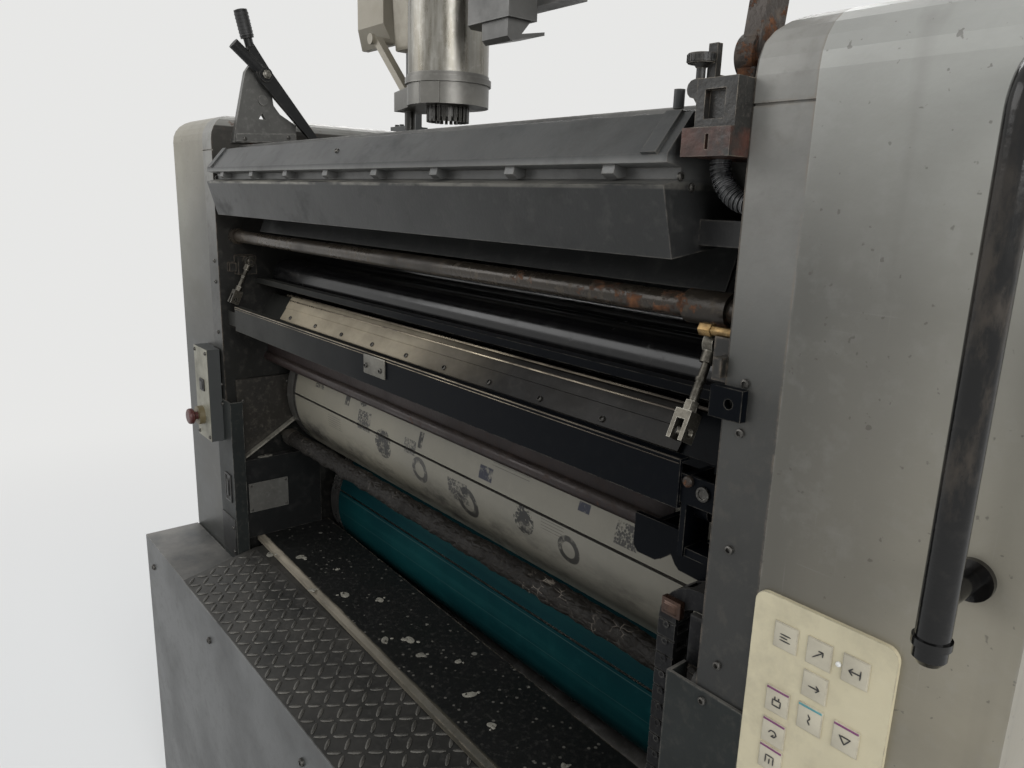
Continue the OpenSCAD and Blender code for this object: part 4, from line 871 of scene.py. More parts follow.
tube_steel = rusty_tube("tube_steel", (0.060, 0.048, 0.036, 1), (0.012, 0.010, 0.008, 1), (0.17, 0.135, 0.095, 1),
                        0.12, 0.66, 0.0, 0.50, grain=0.4, scale=40.0, smooth=0.20)
dress(tube_steel, "guard_tube")
rod_steel = rusty_tube("rod_steel", (0.028, 0.017, 0.015, 1), (0.009, 0.006, 0.006, 1), (0.075, 0.05, 0.038, 1),
                       0.22, 0.40, -0.4, 0.4)
dress(rod_steel, "plate_rod")
shield_paint = rusty_tube("shield_paint", (0.022, 0.0125, 0.011, 1), (0.008, 0.006, 0.006, 1), (0.050, 0.034, 0.028, 1),
                          0.10, 0.30, -0.5, 0.5, smooth=0.5)
shield = start_box("rod_shield", spot(-579, 90, 429), spot(473, 92.5, 476))
pick(shield, lambda middle, normal: normal.z > 0.9)
bpy.ops.mesh.extrude_region_move(TRANSFORM_OT_translate={"value": (0, 0.003, 0.0015)})
pick(shield, lambda middle, normal: normal.z < -0.9)
bpy.ops.transform.resize(value=(1, 0.6, 1))
end_piece(shield, shield_paint, bevel=0.0006)
arm_steel = rusty_tube("arm_steel", (0.070, 0.055, 0.044, 1), (0.016, 0.013, 0.011, 1), (0.24, 0.185, 0.14, 1),
                       0.60, 0.60, 0.0, 0.6, 0.9, 0.35, 60.0)
dress(arm_steel, "stop_arm")

# Finger guard: bar in front of the blanket nip, wrapped in old tape and caked with grease and paper dust,
# so that it is lumpy all round.
grease = rusty_tube("caked_grease", (0.018, 0.016, 0.013, 1), (0.006, 0.0055, 0.005, 1),
                    (0.11, 0.095, 0.072, 1), 0.10, 0.10, 0.0, 0.6, 0.7, 0.0, 30.0, 0.42)
dress(grease, "finger_guard")
guard_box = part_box("finger_guard")
guard_y = (guard_box[0][1] + guard_box[1][1]) / 2
guard_z = (guard_box[0][2] + guard_box[1][2]) / 2
WRAP_HALF, WRAP_R = 0.505, 0.0152
wrap = begin("guard_wrap", bpy.ops.mesh.primitive_cylinder_add, (-WRAP_HALF, guard_y, guard_z), vertices=48,
             radius=WRAP_R, depth=0.004, rotation=(0, math.pi / 2, 0))
pick(wrap, lambda middle, normal: normal.x > 0.9)
STEPS = 320
for step in range(STEPS):
    pull((2 * WRAP_HALF / STEPS, 0, 0))
bpy.ops.object.mode_set(mode="OBJECT")
ridges = bpy.data.textures.new("ridges", "CLOUDS")
ridges.noise_scale = 0.016
ridges.noise_depth = 5
lumps = bpy.data.textures.new("lumps", "CLOUDS")
lumps.noise_scale = 0.05
lumps.noise_depth = 2
add_modifier(wrap, "DISPLACE", texture=lumps, strength=0.0040, mid_level=0.45)
add_modifier(wrap, "DISPLACE", texture=ridges, strength=0.0060, mid_level=0.45)
foil, tree, shader = new_material("wrap_foil", 0.0, Specular_IOR_Level=0.18)
dirt = apply_group(tree, grime, Color=(0.0105, 0.0088, 0.0070, 1), Dark=(0.004, 0.0035, 0.003, 1),
                   Pale=(0.030, 0.024, 0.018, 1), Amount=0.8, Scale=6.0)
crease = new_node(tree, "TexVoronoi", {"feature": "DISTANCE_TO_EDGE"},
                  Vector=stretched(tree, (0.5, 1, 1)), Scale=120.0).outputs["Distance"]
patchy = spread(tree, noise(tree, 9.0, 4.0, 0.6), 0.56, 0.66)
# Painted highlights: pale glints along the creases of the crumpled foil.
crease_glint = times(tree, spread(tree, crease, 0.05, 0.01), patchy)
glint_flecks = times(tree, crease_glint, spread(tree, noise(tree, 90.0, 3.0), 0.46, 0.58))
tree.links.new(mix_colour(tree, glint_flecks, dirt["Color"], (0.26, 0.225, 0.185, 1)), shader.inputs["Base Color"])
roughen(tree, shader, dirt["Mask"], 0.50, 0.80)
bump(tree, shader, times(tree, noise(tree, 60.0, 6.0, 0.7), times(tree, crease, 1.5), "ADD"), 0.8, 0.003)
end_piece(wrap, foil, bend=50)

# Wash-up strip: pale plastic strip on its carrier, with painted shade darkening it to near black towards the right,
# held by a row of small screws. A bright edge of the carrier shows over it.
strip_plastic, tree, shader = new_material("strip_plastic", 0.0, Specular_IOR_Level=0.12)
along = new_node(tree, "SeparateXYZ", Vector=stretched(tree, (1, 1, 1))).outputs["X"]
# Painted shade: the pale strip darkens to near black towards the right, and its specks and ink film darken with it.
faded = times(tree, along, times(tree, noise(tree, 3.5, 5.0, 0.6), 0.30), "ADD")
strip_shade = spread(tree, faded, 0.06, 0.33)
ground = mix_colour(tree, strip_shade, (0.47, 0.405, 0.295, 1), (0.013, 0.012, 0.011, 1))
light_spots = mix_colour(tree, strip_shade, (0.40, 0.35, 0.27, 1), (0.07, 0.062, 0.05, 1))
dirt = apply_group(tree, grime, Color=ground, Dark=(0.04, 0.035, 0.028, 1), Pale=light_spots, Amount=0.45, Scale=2.5)
film = spread(tree, noise(tree, 8.0, 7.0, 0.7, (0.5, 1, 1)), 0.46, 0.66)
film_tone = mix_colour(tree, strip_shade, (0.10, 0.085, 0.062, 1), (0.02, 0.018, 0.016, 1))
tree.links.new(mix_colour(tree, times(tree, film, 0.35), dirt["Color"], film_tone),
               shader.inputs["Base Color"])
roughen(tree, shader, film, 0.36, 0.6)
bump(tree, shader, noise(tree, 240.0, 3.0), 0.15, 0.0005)
dress(strip_plastic, "washup_strip")
strip_normal = Vector((0, -20, 14))
places = []
for x in (-440, -334, -235, -131, -30, 69, 171, 270, 373):
    places.append(facing(spot(x, 81.4, 524.1), strip_normal))
strip_screws = repeat(fastener, "strip_screws", places)
end_piece(strip_screws, screw_steel)
bright_edge, tree, shader = new_material("bright_edge", 0.75)
dirt = apply_group(tree, grime, Color=(0.40, 0.34, 0.25, 1), Dark=(0.06, 0.05, 0.04, 1), Pale=(0.55, 0.48, 0.38, 1),
                   Amount=0.9, Scale=4.0)
along = new_node(tree, "SeparateXYZ", Vector=stretched(tree, (1, 1, 1))).outputs["X"]
# Painted shade: the bright edges darken towards the right end.
tree.links.new(mix_colour(tree, spread(tree, along, 0.1, 0.46), dirt["Color"], (0.07, 0.06, 0.05, 1)),
               shader.inputs["Base Color"])
roughen(tree, shader, dirt["Mask"], 0.25, 0.5)
strip_edge = start_box("strip_edge", spot(-508, 104.4, 557.0), spot(508, 110.6, 559.6))
pick(strip_edge, lambda middle, normal: normal.z > 0.9)
bpy.ops.mesh.inset(thickness=0.0008, depth=0)
pull((0, 0, 0.0008))
end_piece(strip_edge, bright_edge, bevel=0.0004)
strip_bead = start_box("strip_bead", (-0.480, -0.0013, -0.0004), (0.480, 0.0013, 0.0007))
pick(strip_bead, lambda middle, normal: normal.z > 0.9)
bpy.ops.mesh.inset(thickness=0.0005, depth=0)
pull((0, 0, 0.0004))
bpy.ops.object.mode_set(mode="OBJECT")
strip_bead.data.transform(Matrix.Translation(spot(0, 98.6, 551.6)) @ Matrix.Rotation(math.radians(57), 4, "X"))
end_piece(strip_bead, bright_edge, bevel=0.0002)

# Guard plate: black sheet in front of the plate cylinder with a bright folded top edge,
# a zinc bracket screwed to its middle and a ring washer at its right lug.
guard_paint, tree, shader = new_material("guard_paint", 0.0, Specular_IOR_Level=0.05)
# Painted shade: the black sheet is dark grey at the left and darkens towards the right.
along = new_node(tree, "SeparateXYZ", Vector=stretched(tree, (1, 1, 1))).outputs["X"]
wavy = times(tree, along, times(tree, noise(tree, 3.0, 4.0), 0.2), "ADD")
ground = mix_colour(tree, spread(tree, wavy, -0.40, 0.10), (0.040, 0.040, 0.036, 1), (0.0022, 0.0030, 0.0046, 1))
dirt = apply_group(tree, grime, Color=ground, Dark=(0.002, 0.003, 0.004, 1), Pale=(0.014, 0.014, 0.014, 1), Amount=0.35,
                   Scale=2.0)
edges = apply_group(tree, wear, Color=dirt["Color"], Bare=(0.12, 0.11, 0.092, 1), Width=0.0014, Amount=0.8)
tree.links.new(edges["Color"], shader.inputs["Base Color"])
roughen(tree, shader, dirt["Mask"], 0.36, 0.6)
bump(tree, shader, noise(tree, 240.0, 3.0), 0.15, 0.0005)
dress(guard_paint, "strip_carrier", "guard_plate", "notch_bracket", "side_lug")
dress(black_paint, "side_block_left")
dull_zinc, tree, shader = new_material("dull_zinc", 0.65)
dirt = apply_group(tree, grime, Color=(0.15, 0.143, 0.122, 1), Dark=(0.05, 0.046, 0.038, 1),
                   Pale=(0.28, 0.265, 0.23, 1), Amount=0.9, Scale=7.0)
edges = apply_group(tree, wear, Color=dirt["Color"], Bare=(0.5, 0.47, 0.42, 1), Width=0.0012, Amount=0.8)
tree.links.new(edges["Color"], shader.inputs["Base Color"])
roughen(tree, shader, dirt["Mask"], 0.34, 0.6)
bump(tree, shader, noise(tree, 300.0, 4.0), 0.3, 0.0004)
bracket = start_box("plate_bracket", spot(-27, 8.2, 508), spot(31, 11, 536))
pick(bracket, lambda middle, normal: normal.y < -0.9)
bpy.ops.mesh.inset(thickness=0.0016, depth=0.0004)
end_piece(bracket, dull_zinc, bevel=0.0012)
places = [facing(spot(x, 8.2, z), (0, -1, 0)) for x, z in ((-19, 520), (21, 519))]
bracket_screws = repeat(fastener, "bracket_screws", places)
end_piece(bracket_screws, screw_steel)
for name, low, high in (("guard_fold", 537.2, 538.5), ("guard_hem", 533.6, 534.5)):
    fold = start_box(name, spot(-534, 10.2, low), spot(534, 12.4, high))
    pick(fold, lambda middle, normal: normal.y < -0.9)
    bpy.ops.mesh.inset(thickness=0.0003, depth=0)
    pull((0, -0.0006, 0))
    end_piece(fold, bright_edge, bevel=0.0002)
lug_ring = begin("lug_ring", bpy.ops.mesh.primitive_cylinder_add, spot(560, 12.6, 513), vertices=32, radius=0.0066,
                 depth=0.0028, rotation=(math.pi / 2, 0, 0))
pick(lug_ring, lambda middle, normal: normal.y < -0.9)
bpy.ops.mesh.inset(thickness=0.0022, depth=0)
pull((0, 0.0018, 0))
end_piece(lug_ring, screw_steel, bevel=0.0005)
buffer = begin("lug_buffer", bpy.ops.mesh.primitive_cylinder_add, spot(544, 12.4, 520), vertices=24, radius=0.0052,
               depth=0.0034, rotation=(math.pi / 2, 0, 0))
pick(buffer, lambda middle, normal: normal.y < -0.9)
pull((0, -0.0016, 0))
bpy.ops.transform.resize(value=(0.7, 1, 0.7))
end_piece(buffer, arm_steel, bevel=0.0005)

# Guard links: threaded rods with lock nut and zinc plated fork heads, hanging on pins with spring clips.
# The right pin carries a brass air elbow.
link_metal, tree, shader = new_material("link_metal", 0.85)
dirt = apply_group(tree, grime, Color=(0.085, 0.078, 0.064, 1), Dark=(0.018, 0.016, 0.013, 1),
                   Pale=(0.26, 0.245, 0.21, 1), Amount=0.95, Scale=12.0)
edges = apply_group(tree, wear, Color=dirt["Color"], Bare=(0.42, 0.40, 0.35, 1), Width=0.0010, Amount=0.8)
tree.links.new(edges["Color"], shader.inputs["Base Color"])
roughen(tree, shader, dirt["Mask"], 0.30, 0.6)
bump(tree, shader, noise(tree, 400.0, 3.0), 0.2, 0.0003)
dress(link_metal, "guard_link_left", "guard_link_right", "fork_head_left", "fork_head_right")
EYES = {"left": spot(-549, 50, 622), "right": spot(549, 24, 642)}
LEAN = math.radians(-25)
thread = begin("thread_pattern", bpy.ops.mesh.primitive_torus_add, (0, 0, 0), major_radius=0.0037,
               minor_radius=0.00055, major_segments=20, minor_segments=6)
bpy.ops.object.mode_set(mode="OBJECT")
clip = begin("clip_pattern", bpy.ops.mesh.primitive_cylinder_add, (0, 0, 0), vertices=24, radius=0.0062, depth=0.0014)
pick(clip, lambda middle, normal: abs(normal.z) > 0.9)
bpy.ops.mesh.inset(thickness=0.0012, depth=0.0003)
bpy.ops.object.mode_set(mode="OBJECT")
for side, eye in EYES.items():
    lean = Matrix.Translation(eye) @ Matrix.Rotation(LEAN, 4, "X")
    turns = [lean @ Matrix.Translation((0, 0, -0.0365 - i * 0.0015)) for i in range(10)]
    turns = repeat(thread, "link_thread_" + side, turns)
    end_piece(turns, link_metal, "link_" + side + "_body", bend=60)
    sign = -1 if side == "left" else 1
    washers = [Matrix.Translation(eye + Vector((sign * x / 1000, 0, 0))) @ Matrix.Rotation(math.pi / 2, 4, "Y")
               for x in (-6.4, 7.4)]
    washers = repeat(clip, "pin_washers_" + side, washers)
    end_piece(washers, link_metal, bend=40)
drop(thread)
drop(clip)

brass, tree, shader = new_material("brass", 0.8)
dirt = apply_group(tree, grime, Color=(0.30, 0.19, 0.075, 1), Dark=(0.05, 0.035, 0.02, 1), Pale=(0.52, 0.40, 0.22, 1),
                   Amount=0.9, Scale=10.0)
tree.links.new(dirt["Color"], shader.inputs["Base Color"])
roughen(tree, shader, dirt["Mask"], 0.22, 0.5)
elbow = begin("air_elbow", bpy.ops.mesh.primitive_cylinder_add, spot(551, 10, 655.5), vertices=6, radius=0.0062,
              depth=0.012, rotation=(0, math.pi / 2, 0))
pick(elbow, lambda middle, normal: abs(normal.x) > 0.9)
bpy.ops.mesh.inset(thickness=0.0016, depth=0)
pick(elbow, lambda middle, normal: normal.x > 0.9 and (middle - spot(557, 10, 655.5)).length < 0.002)
pull((0.008, 0, 0))
pull((0.015, 0, 0))
end_piece(elbow, brass, bevel=0.0006)

# Left end: sheet guard with a bright folded lower edge, black block with a greasy worn top,
# and a plain tag plate held by four pins.
side_metal, tree, shader = new_material("side_plate_metal", 0.3)
height = new_node(tree, "SeparateXYZ", Vector=stretched(tree, (1, 1, 1)))
dirt = apply_group(tree, grime, Color=(0.040, 0.036, 0.030, 1), Dark=(0.012, 0.011, 0.010, 1),
                   Pale=(0.13, 0.115, 0.09, 1), Amount=0.9, Scale=3.0)
inner = spread(tree, height.outputs["X"], -0.5735, -0.5715)
rubbed_edge = times(tree, inner, spread(tree, noise(tree, 40.0, 5.0), 0.30, 0.55))
tree.links.new(mix_colour(tree, rubbed_edge, dirt["Color"], (0.32, 0.30, 0.25, 1)), shader.inputs["Base Color"])
roughen(tree, shader, dirt["Mask"], 0.34, 0.62)
bump(tree, shader, noise(tree, 200.0, 4.0), 0.3, 0.0006)
dress(side_metal, "side_plate_left")
tag_metal = painted("tag_metal", (0.17, 0.165, 0.15, 1), (0.07, 0.068, 0.06, 1), (0.26, 0.25, 0.225, 1),
                    amount=0.7, scale=3.0, dust=0.3, edge=(0.36, 0.35, 0.31, 1), edge_width=0.0015, metallic=0.4)
dress(tag_metal, "tag_plate")
pin_places = [facing(spot(-560, y, z), (1, 0, 0)) for y in (35, 109) for z in (107, 160)]
pin = socket_screw(0.0024, 0.0012)
tag_pins = repeat(pin, "tag_pins", pin_places)
end_piece(tag_pins, screw_steel)
drop(pin)
places = [facing(spot(-574, y, z), (1, 0, 0)) for y, z in ((32, 340), (128, 340), (128, 370))]
side_screws_in = repeat(fastener, "side_plate_screws", places)
end_piece(side_screws_in, screw_steel)
latch = start_box("trim_latch", spot(-598, -5.4, 130), spot(-566, -3, 190))
pick(latch, lambda middle, normal: normal.y < -0.9)
bpy.ops.mesh.inset(thickness=0.004, depth=0)
pull((0, 0.0018, 0))
bpy.ops.mesh.inset(thickness=0.008, depth=0)
pull((0, -0.0030, 0))
end_piece(latch, black_paint, bevel=0.0008)
foot_patch = start_box("trim_foot", spot(-629, -4.6, 12), spot(-555, -3, 96))
pick(foot_patch, lambda middle, normal: normal.y < -0.9)
bpy.ops.mesh.inset(thickness=0.003, depth=0.0005)
end_piece(foot_patch, black_paint, bevel=0.0012)
foot_screw = repeat(fastener, "trim_foot_screw", [facing(spot(-562, -4.6, 77), (0, -1, 0)),
                                                  facing(spot(-562, -4.6, 24), (0, -1, 0))])
end_piece(foot_screw, screw_steel)

# Throw-off lever: black hand lever with a ribbed grip on a grey cast bracket, its pin held by a nut.
grey_steel = painted("grey_steel", (0.11, 0.108, 0.10, 1), (0.028, 0.027, 0.025, 1), (0.26, 0.25, 0.235, 1),
                     amount=0.7, scale=2.5, dust=0.45, metallic=0.25, edge=(0.34, 0.33, 0.30, 1))
dress(grey_steel, "lever_bracket")
dress(black_paint, "lever")
grip_rubber, tree, shader = new_material("grip_rubber", 0.0)
dirt = apply_group(tree, grime, Color=(0.012, 0.012, 0.012, 1), Dark=(0.005, 0.005, 0.005, 1),
                   Pale=(0.06, 0.057, 0.05, 1), Amount=0.8, Scale=8.0)
tree.links.new(dirt["Color"], shader.inputs["Base Color"])
roughen(tree, shader, dirt["Mask"], 0.45, 0.7)
bump(tree, shader, noise(tree, 500.0, 3.0), 0.3, 0.0003)


def ribbed_grip(name, low, high, radius, ribs, body):
    """Rubber sleeve with ribs between two places, closed by a rounded end."""
    low, high = Vector(low), Vector(high)
    length = (high - low).length
    grip = begin(name, bpy.ops.mesh.primitive_cylinder_add, (0, 0, 0.0005), vertices=28, radius=radius * 0.93,
                 depth=0.001)
    pick(grip, lambda middle, normal: normal.z > 0.9)
    step = (length - 0.004) / (2 * ribs)
    for i in range(2 * ribs):
        factor = 1.075 if i % 2 == 0 else 1 / 1.075
        bpy.ops.transform.resize(value=(factor, factor, 1))
        pull((0, 0, step))
    pull((0, 0, 0.0015))
    bpy.ops.transform.resize(value=(0.86, 0.86, 1))
    pull((0, 0, 0.001))
    bpy.ops.transform.resize(value=(0.6, 0.6, 1))
    bpy.ops.object.mode_set(mode="OBJECT")
    grip.data.transform(facing(low, high - low))
    return end_piece(grip, grip_rubber, body, bend=50)


ribbed_grip("lever_grip", spot(-553, 66.2, 1029.5), spot(-553, 55.6, 1074.0), 0.0128, 7, "lever_body")
lever_nut = begin("lever_nut", bpy.ops.mesh.primitive_cylinder_add, spot(-541.6, 96, 966), vertices=6, radius=0.0085,
                  depth=0.006, rotation=(0, math.pi / 2, 0))
pick(lever_nut, lambda middle, normal: normal.x > 0.9)
bpy.ops.mesh.inset(thickness=0.0022, depth=0)
pull((0.0025, 0, 0))
end_piece(lever_nut, dull_zinc, bevel=0.0006)
places = [facing(spot(-564, y, z), (1, 0, 0)) for y, z in ((58, 850), (144, 858))]
bracket_bolts = repeat(fastener, "lever_bracket_bolts", places)
end_piece(bracket_bolts, screw_steel)

# Stop bracket on the right: black block on a plate whose front shows worn red primer,
# with a knurled locking knob, a stop post and the rusty cast arm behind it.
stop_paint, tree, shader = new_material("stop_paint", 0.15)
height = new_node(tree, "SeparateXYZ", Vector=stretched(tree, (1, 1, 1))).outputs["Z"]
primer = times(tree, spread(tree, height, WALK + 0.8115, WALK + 0.8105),
               spread(tree, noise(tree, 26.0, 6.0, 0.65), 0.36, 0.55))
ground = mix_colour(tree, primer, (0.022, 0.021, 0.019, 1), (0.076, 0.031, 0.022, 1))
dirt = apply_group(tree, grime, Color=ground, Dark=(0.006, 0.006, 0.005, 1), Pale=(0.085, 0.072, 0.058, 1),
                   Amount=0.85, Scale=9.0)
oxide = apply_group(tree, rusting, Color=dirt["Color"], Amount=0.36, Scale=40.0)
edges = apply_group(tree, wear, Color=oxide["Color"], Bare=(0.26, 0.22, 0.17, 1), Width=0.0012, Amount=0.8)
dust = apply_group(tree, dusting, Color=edges["Color"], Dust=(0.10, 0.085, 0.07, 1), Amount=0.4)
tree.links.new(dust["Color"], shader.inputs["Base Color"])
roughen(tree, shader, dirt["Mask"], 0.34, 0.62)
bump(tree, shader, noise(tree, 160.0, 5.0), 0.6, 0.0012)
dress(stop_paint, "stop_block")
knurl = begin("knob_rim", bpy.ops.mesh.primitive_cylinder_add, spot(540, -12, 861.5), vertices=48, radius=0.0109,
              depth=0.0052)
pick(knurl, lambda middle, normal: abs(normal.z) < 0.5 and
     int(math.degrees(math.atan2(normal.y, normal.x)) // 7.5) % 2 == 0)
bpy.ops.mesh.extrude_region_shrink_fatten(TRANSFORM_OT_shrink_fatten={"value": 0.0005})
pick(knurl, lambda middle, normal: normal.z > 0.9)
bpy.ops.mesh.inset(thickness=0.0022, depth=0)
pull((0, 0, -0.0002))
end_piece(knurl, black_paint, bend=25)

# Ribbed hose from the stop bracket into the frame, and the ink duct behind the cover with its zone keys.
hose_plastic, tree, shader = new_material("hose_plastic", 0.0)
dirt = apply_group(tree, grime, Color=(0.020, 0.021, 0.022, 1), Dark=(0.006, 0.006, 0.006, 1),
                   Pale=(0.12, 0.12, 0.12, 1), Amount=0.6, Scale=8.0)
edges = apply_group(tree, wear, Color=dirt["Color"], Bare=(0.48, 0.48, 0.48, 1), Width=0.0012, Amount=0.8)
tree.links.new(edges["Color"], shader.inputs["Base Color"])
roughen(tree, shader, dirt["Mask"], 0.25, 0.5)
dress(hose_plastic, "conduit")
dress(grey_steel, "ink_duct")

# Ink dispenser: painted carriage with two drive boxes and a steel cartridge in its clamp. The cartridge is
# rolled steel, streaked down its length, over a grey cast holder with a toothed ring.
dispenser_paint = painted("dispenser_paint", (0.170, 0.165, 0.150, 1), (0.052, 0.051, 0.047, 1),
                          (0.25, 0.245, 0.23, 1), amount=0.8, scale=3.0, dust=0.5, metallic=0.3,
                          edge=(0.34, 0.33, 0.31, 1), roughness=(0.32, 0.55))
tree = dispenser_paint.node_tree
shader = tree.nodes["Principled BSDF"]
plain = shader.inputs["Base Color"].links[0].from_socket
parts = new_node(tree, "SeparateXYZ", Vector=stretched(tree, (1, 1, 1)))
ahead = spread(tree, parts.outputs["Y"], FRONT + 0.196, FRONT + 0.190)
left_share = times(tree, spread(tree, parts.outputs["X"], -0.10, -0.12, 0.0, 0.75), ahead)
right_share = times(tree, spread(tree, parts.outputs["X"], 0.05, 0.06, 0.0, 0.60), ahead)
warm = mix_colour(tree, left_share, plain, (0.36, 0.325, 0.255, 1))
tree.links.new(mix_colour(tree, right_share, warm, (0.075, 0.074, 0.072, 1)), shader.inputs["Base Color"])
dress(dispenser_paint, "carriage")
holder_paint, tree, shader = new_material("holder_paint", 0.35)
height = new_node(tree, "SeparateXYZ", Vector=stretched(tree, (1, 1, 1))).outputs["Z"]
dirt = apply_group(tree, grime, Color=(0.175, 0.168, 0.150, 1), Dark=(0.06, 0.058, 0.052, 1),
                   Pale=(0.27, 0.26, 0.24, 1), Amount=0.6, Scale=2.4)
under = spread(tree, height, WALK + 0.8775, WALK + 0.8765)
edges = apply_group(tree, wear, Color=mix_colour(tree, under, dirt["Color"], (0.026, 0.024, 0.020, 1)),
                    Bare=(0.36, 0.35, 0.32, 1), Width=0.0018, Amount=0.6)
tree.links.new(edges["Color"], shader.inputs["Base Color"])
roughen(tree, shader, dirt["Mask"], 0.30, 0.55)
bump(tree, shader, noise(tree, 220.0, 3.0), 0.2, 0.0005)
dress(holder_paint, "cartridge_base")
rolled_steel, tree, shader = new_material("rolled_steel", 0.85)
parts = new_node(tree, "SeparateXYZ", Vector=stretched(tree, (1, 1, 1)))
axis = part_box("ink_cartridge")
axis_x, axis_y = (axis[0][0] + axis[1][0]) / 2, (axis[0][1] + axis[1][1]) / 2
around = times(tree, times(tree, parts.outputs["Y"], axis_y, "SUBTRACT"),
               times(tree, parts.outputs["X"], axis_x, "SUBTRACT"), "ARCTAN2")
wrapped = new_node(tree, "CombineXYZ", X=times(tree, around, 0.055), Y=times(tree, parts.outputs["Z"], 0.10),
                   Z=0.0).outputs[0]
streaks = new_node(tree, "TexNoise", Vector=wrapped, Scale=95.0, Detail=6.0, Roughness=0.65).outputs["Fac"]
broad = new_node(tree, "TexNoise", Vector=wrapped, Scale=26.0, Detail=4.0, Roughness=0.6).outputs["Fac"]
base = mix_colour(tree, spread(tree, streaks, 0.35, 0.66), (0.16, 0.148, 0.120, 1), (0.33, 0.32, 0.29, 1))
toned = mix_colour(tree, times(tree, spread(tree, broad, 0.46, 0.68), 0.6), base, (0.105, 0.088, 0.062, 1))
dirt = apply_group(tree, grime, Color=toned, Dark=(0.07, 0.062, 0.05, 1), Pale=(0.50, 0.49, 0.46, 1), Amount=0.45,
                   Scale=2.5)
tree.links.new(dirt["Color"], shader.inputs["Base Color"])
roughen(tree, shader, spread(tree, streaks, 0.3, 0.7), 0.20, 0.42)
bump(tree, shader, streaks, 0.10, 0.0006)
dress(rolled_steel, "ink_cartridge")
beige_paint = painted("beige_paint", (0.36, 0.325, 0.255, 1), (0.12, 0.105, 0.08, 1), (0.42, 0.39, 0.32, 1),
                      amount=0.7, scale=4.0, dust=0.4, metallic=0.2, edge=(0.46, 0.43, 0.37, 1), roughness=(0.36, 0.6))
drive_box = start_box("left_drive_box", spot(-184, 138, 972), spot(-82, 178, 1240))
pick(drive_box, lambda middle, normal: normal.z < -0.9)
bpy.ops.transform.resize(value=(1, 0.55, 1), center_override=spot(-133, 178, 972))
pick(drive_box, lambda middle, normal: normal.y < -0.5)
bpy.ops.mesh.inset(thickness=0.006, depth=-0.0012)
end_piece(drive_box, beige_paint, "dispenser_body", bevel=0.003)
HOOD_SCREW = socket_screw(0.0048, 0.003)
places = []
for x in (90, 162):
    for z in (1000, 1110, 1220):
        places.append(facing(spot(x, 94, z), (0, -1, 0)))
for z in (1128, 1152):
    for x in (-90, 62):
        places.append(facing(spot(x, 110, z), (0, -1, 0)))
hood_screws = repeat(HOOD_SCREW, "drive_box_screws", places)
end_piece(hood_screws, screw_steel, "dispenser_body")
drop(HOOD_SCREW)

# Operator panels: cream film with soft keys, each with a plain sign and a coloured edge,
# over a shallow box. The small left box carries a yellow collar and a red stop button.
panel_film, tree, shader = new_material("panel_film", 0.0)
dirt = apply_group(tree, grime, Color=(0.64, 0.575, 0.395, 1), Dark=(0.28, 0.245, 0.17, 1),
                   Pale=(0.70, 0.65, 0.50, 1), Amount=0.28, Scale=2.5)
touch = spread(tree, noise(tree, 20.0, 6.0, 0.65), 0.50, 0.70)
edges = apply_group(tree, wear, Color=mix_colour(tree, times(tree, touch, 0.30), dirt["Color"], (0.22, 0.19, 0.14, 1)),
                    Bare=(0.10, 0.09, 0.08, 1), Width=0.0015, Amount=0.6)
tree.links.new(edges["Color"], shader.inputs["Base Color"])
roughen(tree, shader, touch, 0.34, 0.55)
bump(tree, shader, noise(tree, 500.0, 2.0), 0.08, 0.0003)
dress(panel_film, "panel_right")
left_panel, tree, shader = new_material("left_panel_paint", 0.0)
where = new_node(tree, "SeparateXYZ", Vector=stretched(tree, (1, 1, 1)))
facing_front = spread(tree, where.outputs["Y"], FRONT - 0.0272, FRONT - 0.0278)
dirt = apply_group(tree, grime, Color=(0.27, 0.26, 0.20, 1), Dark=(0.085, 0.08, 0.062, 1),
                   Pale=(0.38, 0.36, 0.30, 1), Amount=0.8, Scale=4.0)
in_collar = spread(tree, where.outputs["Y"], FRONT - 0.0286, FRONT - 0.0290)
faced = mix_colour(tree, facing_front, (0.050, 0.053, 0.052, 1), dirt["Color"])
tree.links.new(mix_colour(tree, in_collar, faced, (0.14, 0.112, 0.058, 1)), shader.inputs["Base Color"])
roughen(tree, shader, dirt["Mask"], 0.38, 0.6)
bump(tree, shader, noise(tree, 400.0, 3.0), 0.15, 0.0004)
dress(left_panel, "panel_left")

key_film = painted("key_film", (0.56, 0.515, 0.40, 1), (0.25, 0.22, 0.17, 1), (0.62, 0.59, 0.50, 1), amount=0.35,
                   scale=10.0, dust=0.0, edge=(0.14, 0.12, 0.10, 1), edge_width=0.0008, roughness=(0.36, 0.55))
sign_ink = painted("sign_ink", (0.035, 0.033, 0.032, 1), (0.015, 0.015, 0.015, 1), (0.12, 0.11, 0.10, 1), amount=0.4,
                   scale=20.0, dust=0.0, edge_amount=0.0)
PANEL_FACE = -4.0
KEYS = [(660, 432, None), (687.5, 432, None), (715.5, 432, None), (687.5, 404, None), (659.5, 375.5, "plum"),
        (687, 376, "cyan"), (715.5, 376, "plum"), (659.5, 347, "plum"), (659.5, 323, "plum"), (676, 300, "green"),
        (704, 300, "green"), (659.5, 276, None), (687.5, 276, None), (715.5, 276, None), (715.5, 250, None),
        (687.5, 250, None)]
key = start_box("key_pattern", (-0.010, -0.0009, -0.011), (0.010, 0, 0.011))
pick(key, lambda middle, normal: normal.y < -0.9)
bpy.ops.mesh.inset(thickness=0.0006, depth=0)
pull((0, -0.0006, 0))
bpy.ops.object.mode_set(mode="OBJECT")
keys = repeat(key, "panel_keys", [Matrix.Translation(spot(x, PANEL_FACE, z)) for x, z, tone in KEYS])
end_piece(keys, key_film, bevel=0.0011)
drop(key)
band = start_box("band_pattern", (-0.0094, -0.0019, 0.0088), (0.0094, -0.0013, 0.0104))
pick(band, lambda middle, normal: normal.y < -0.9)
bpy.ops.mesh.inset(thickness=0.0003, depth=0)
bpy.ops.object.mode_set(mode="OBJECT")
TONES = {"plum": (0.20, 0.045, 0.15, 1), "cyan": (0.10, 0.33, 0.36, 1), "green": (0.03, 0.20, 0.12, 1)}
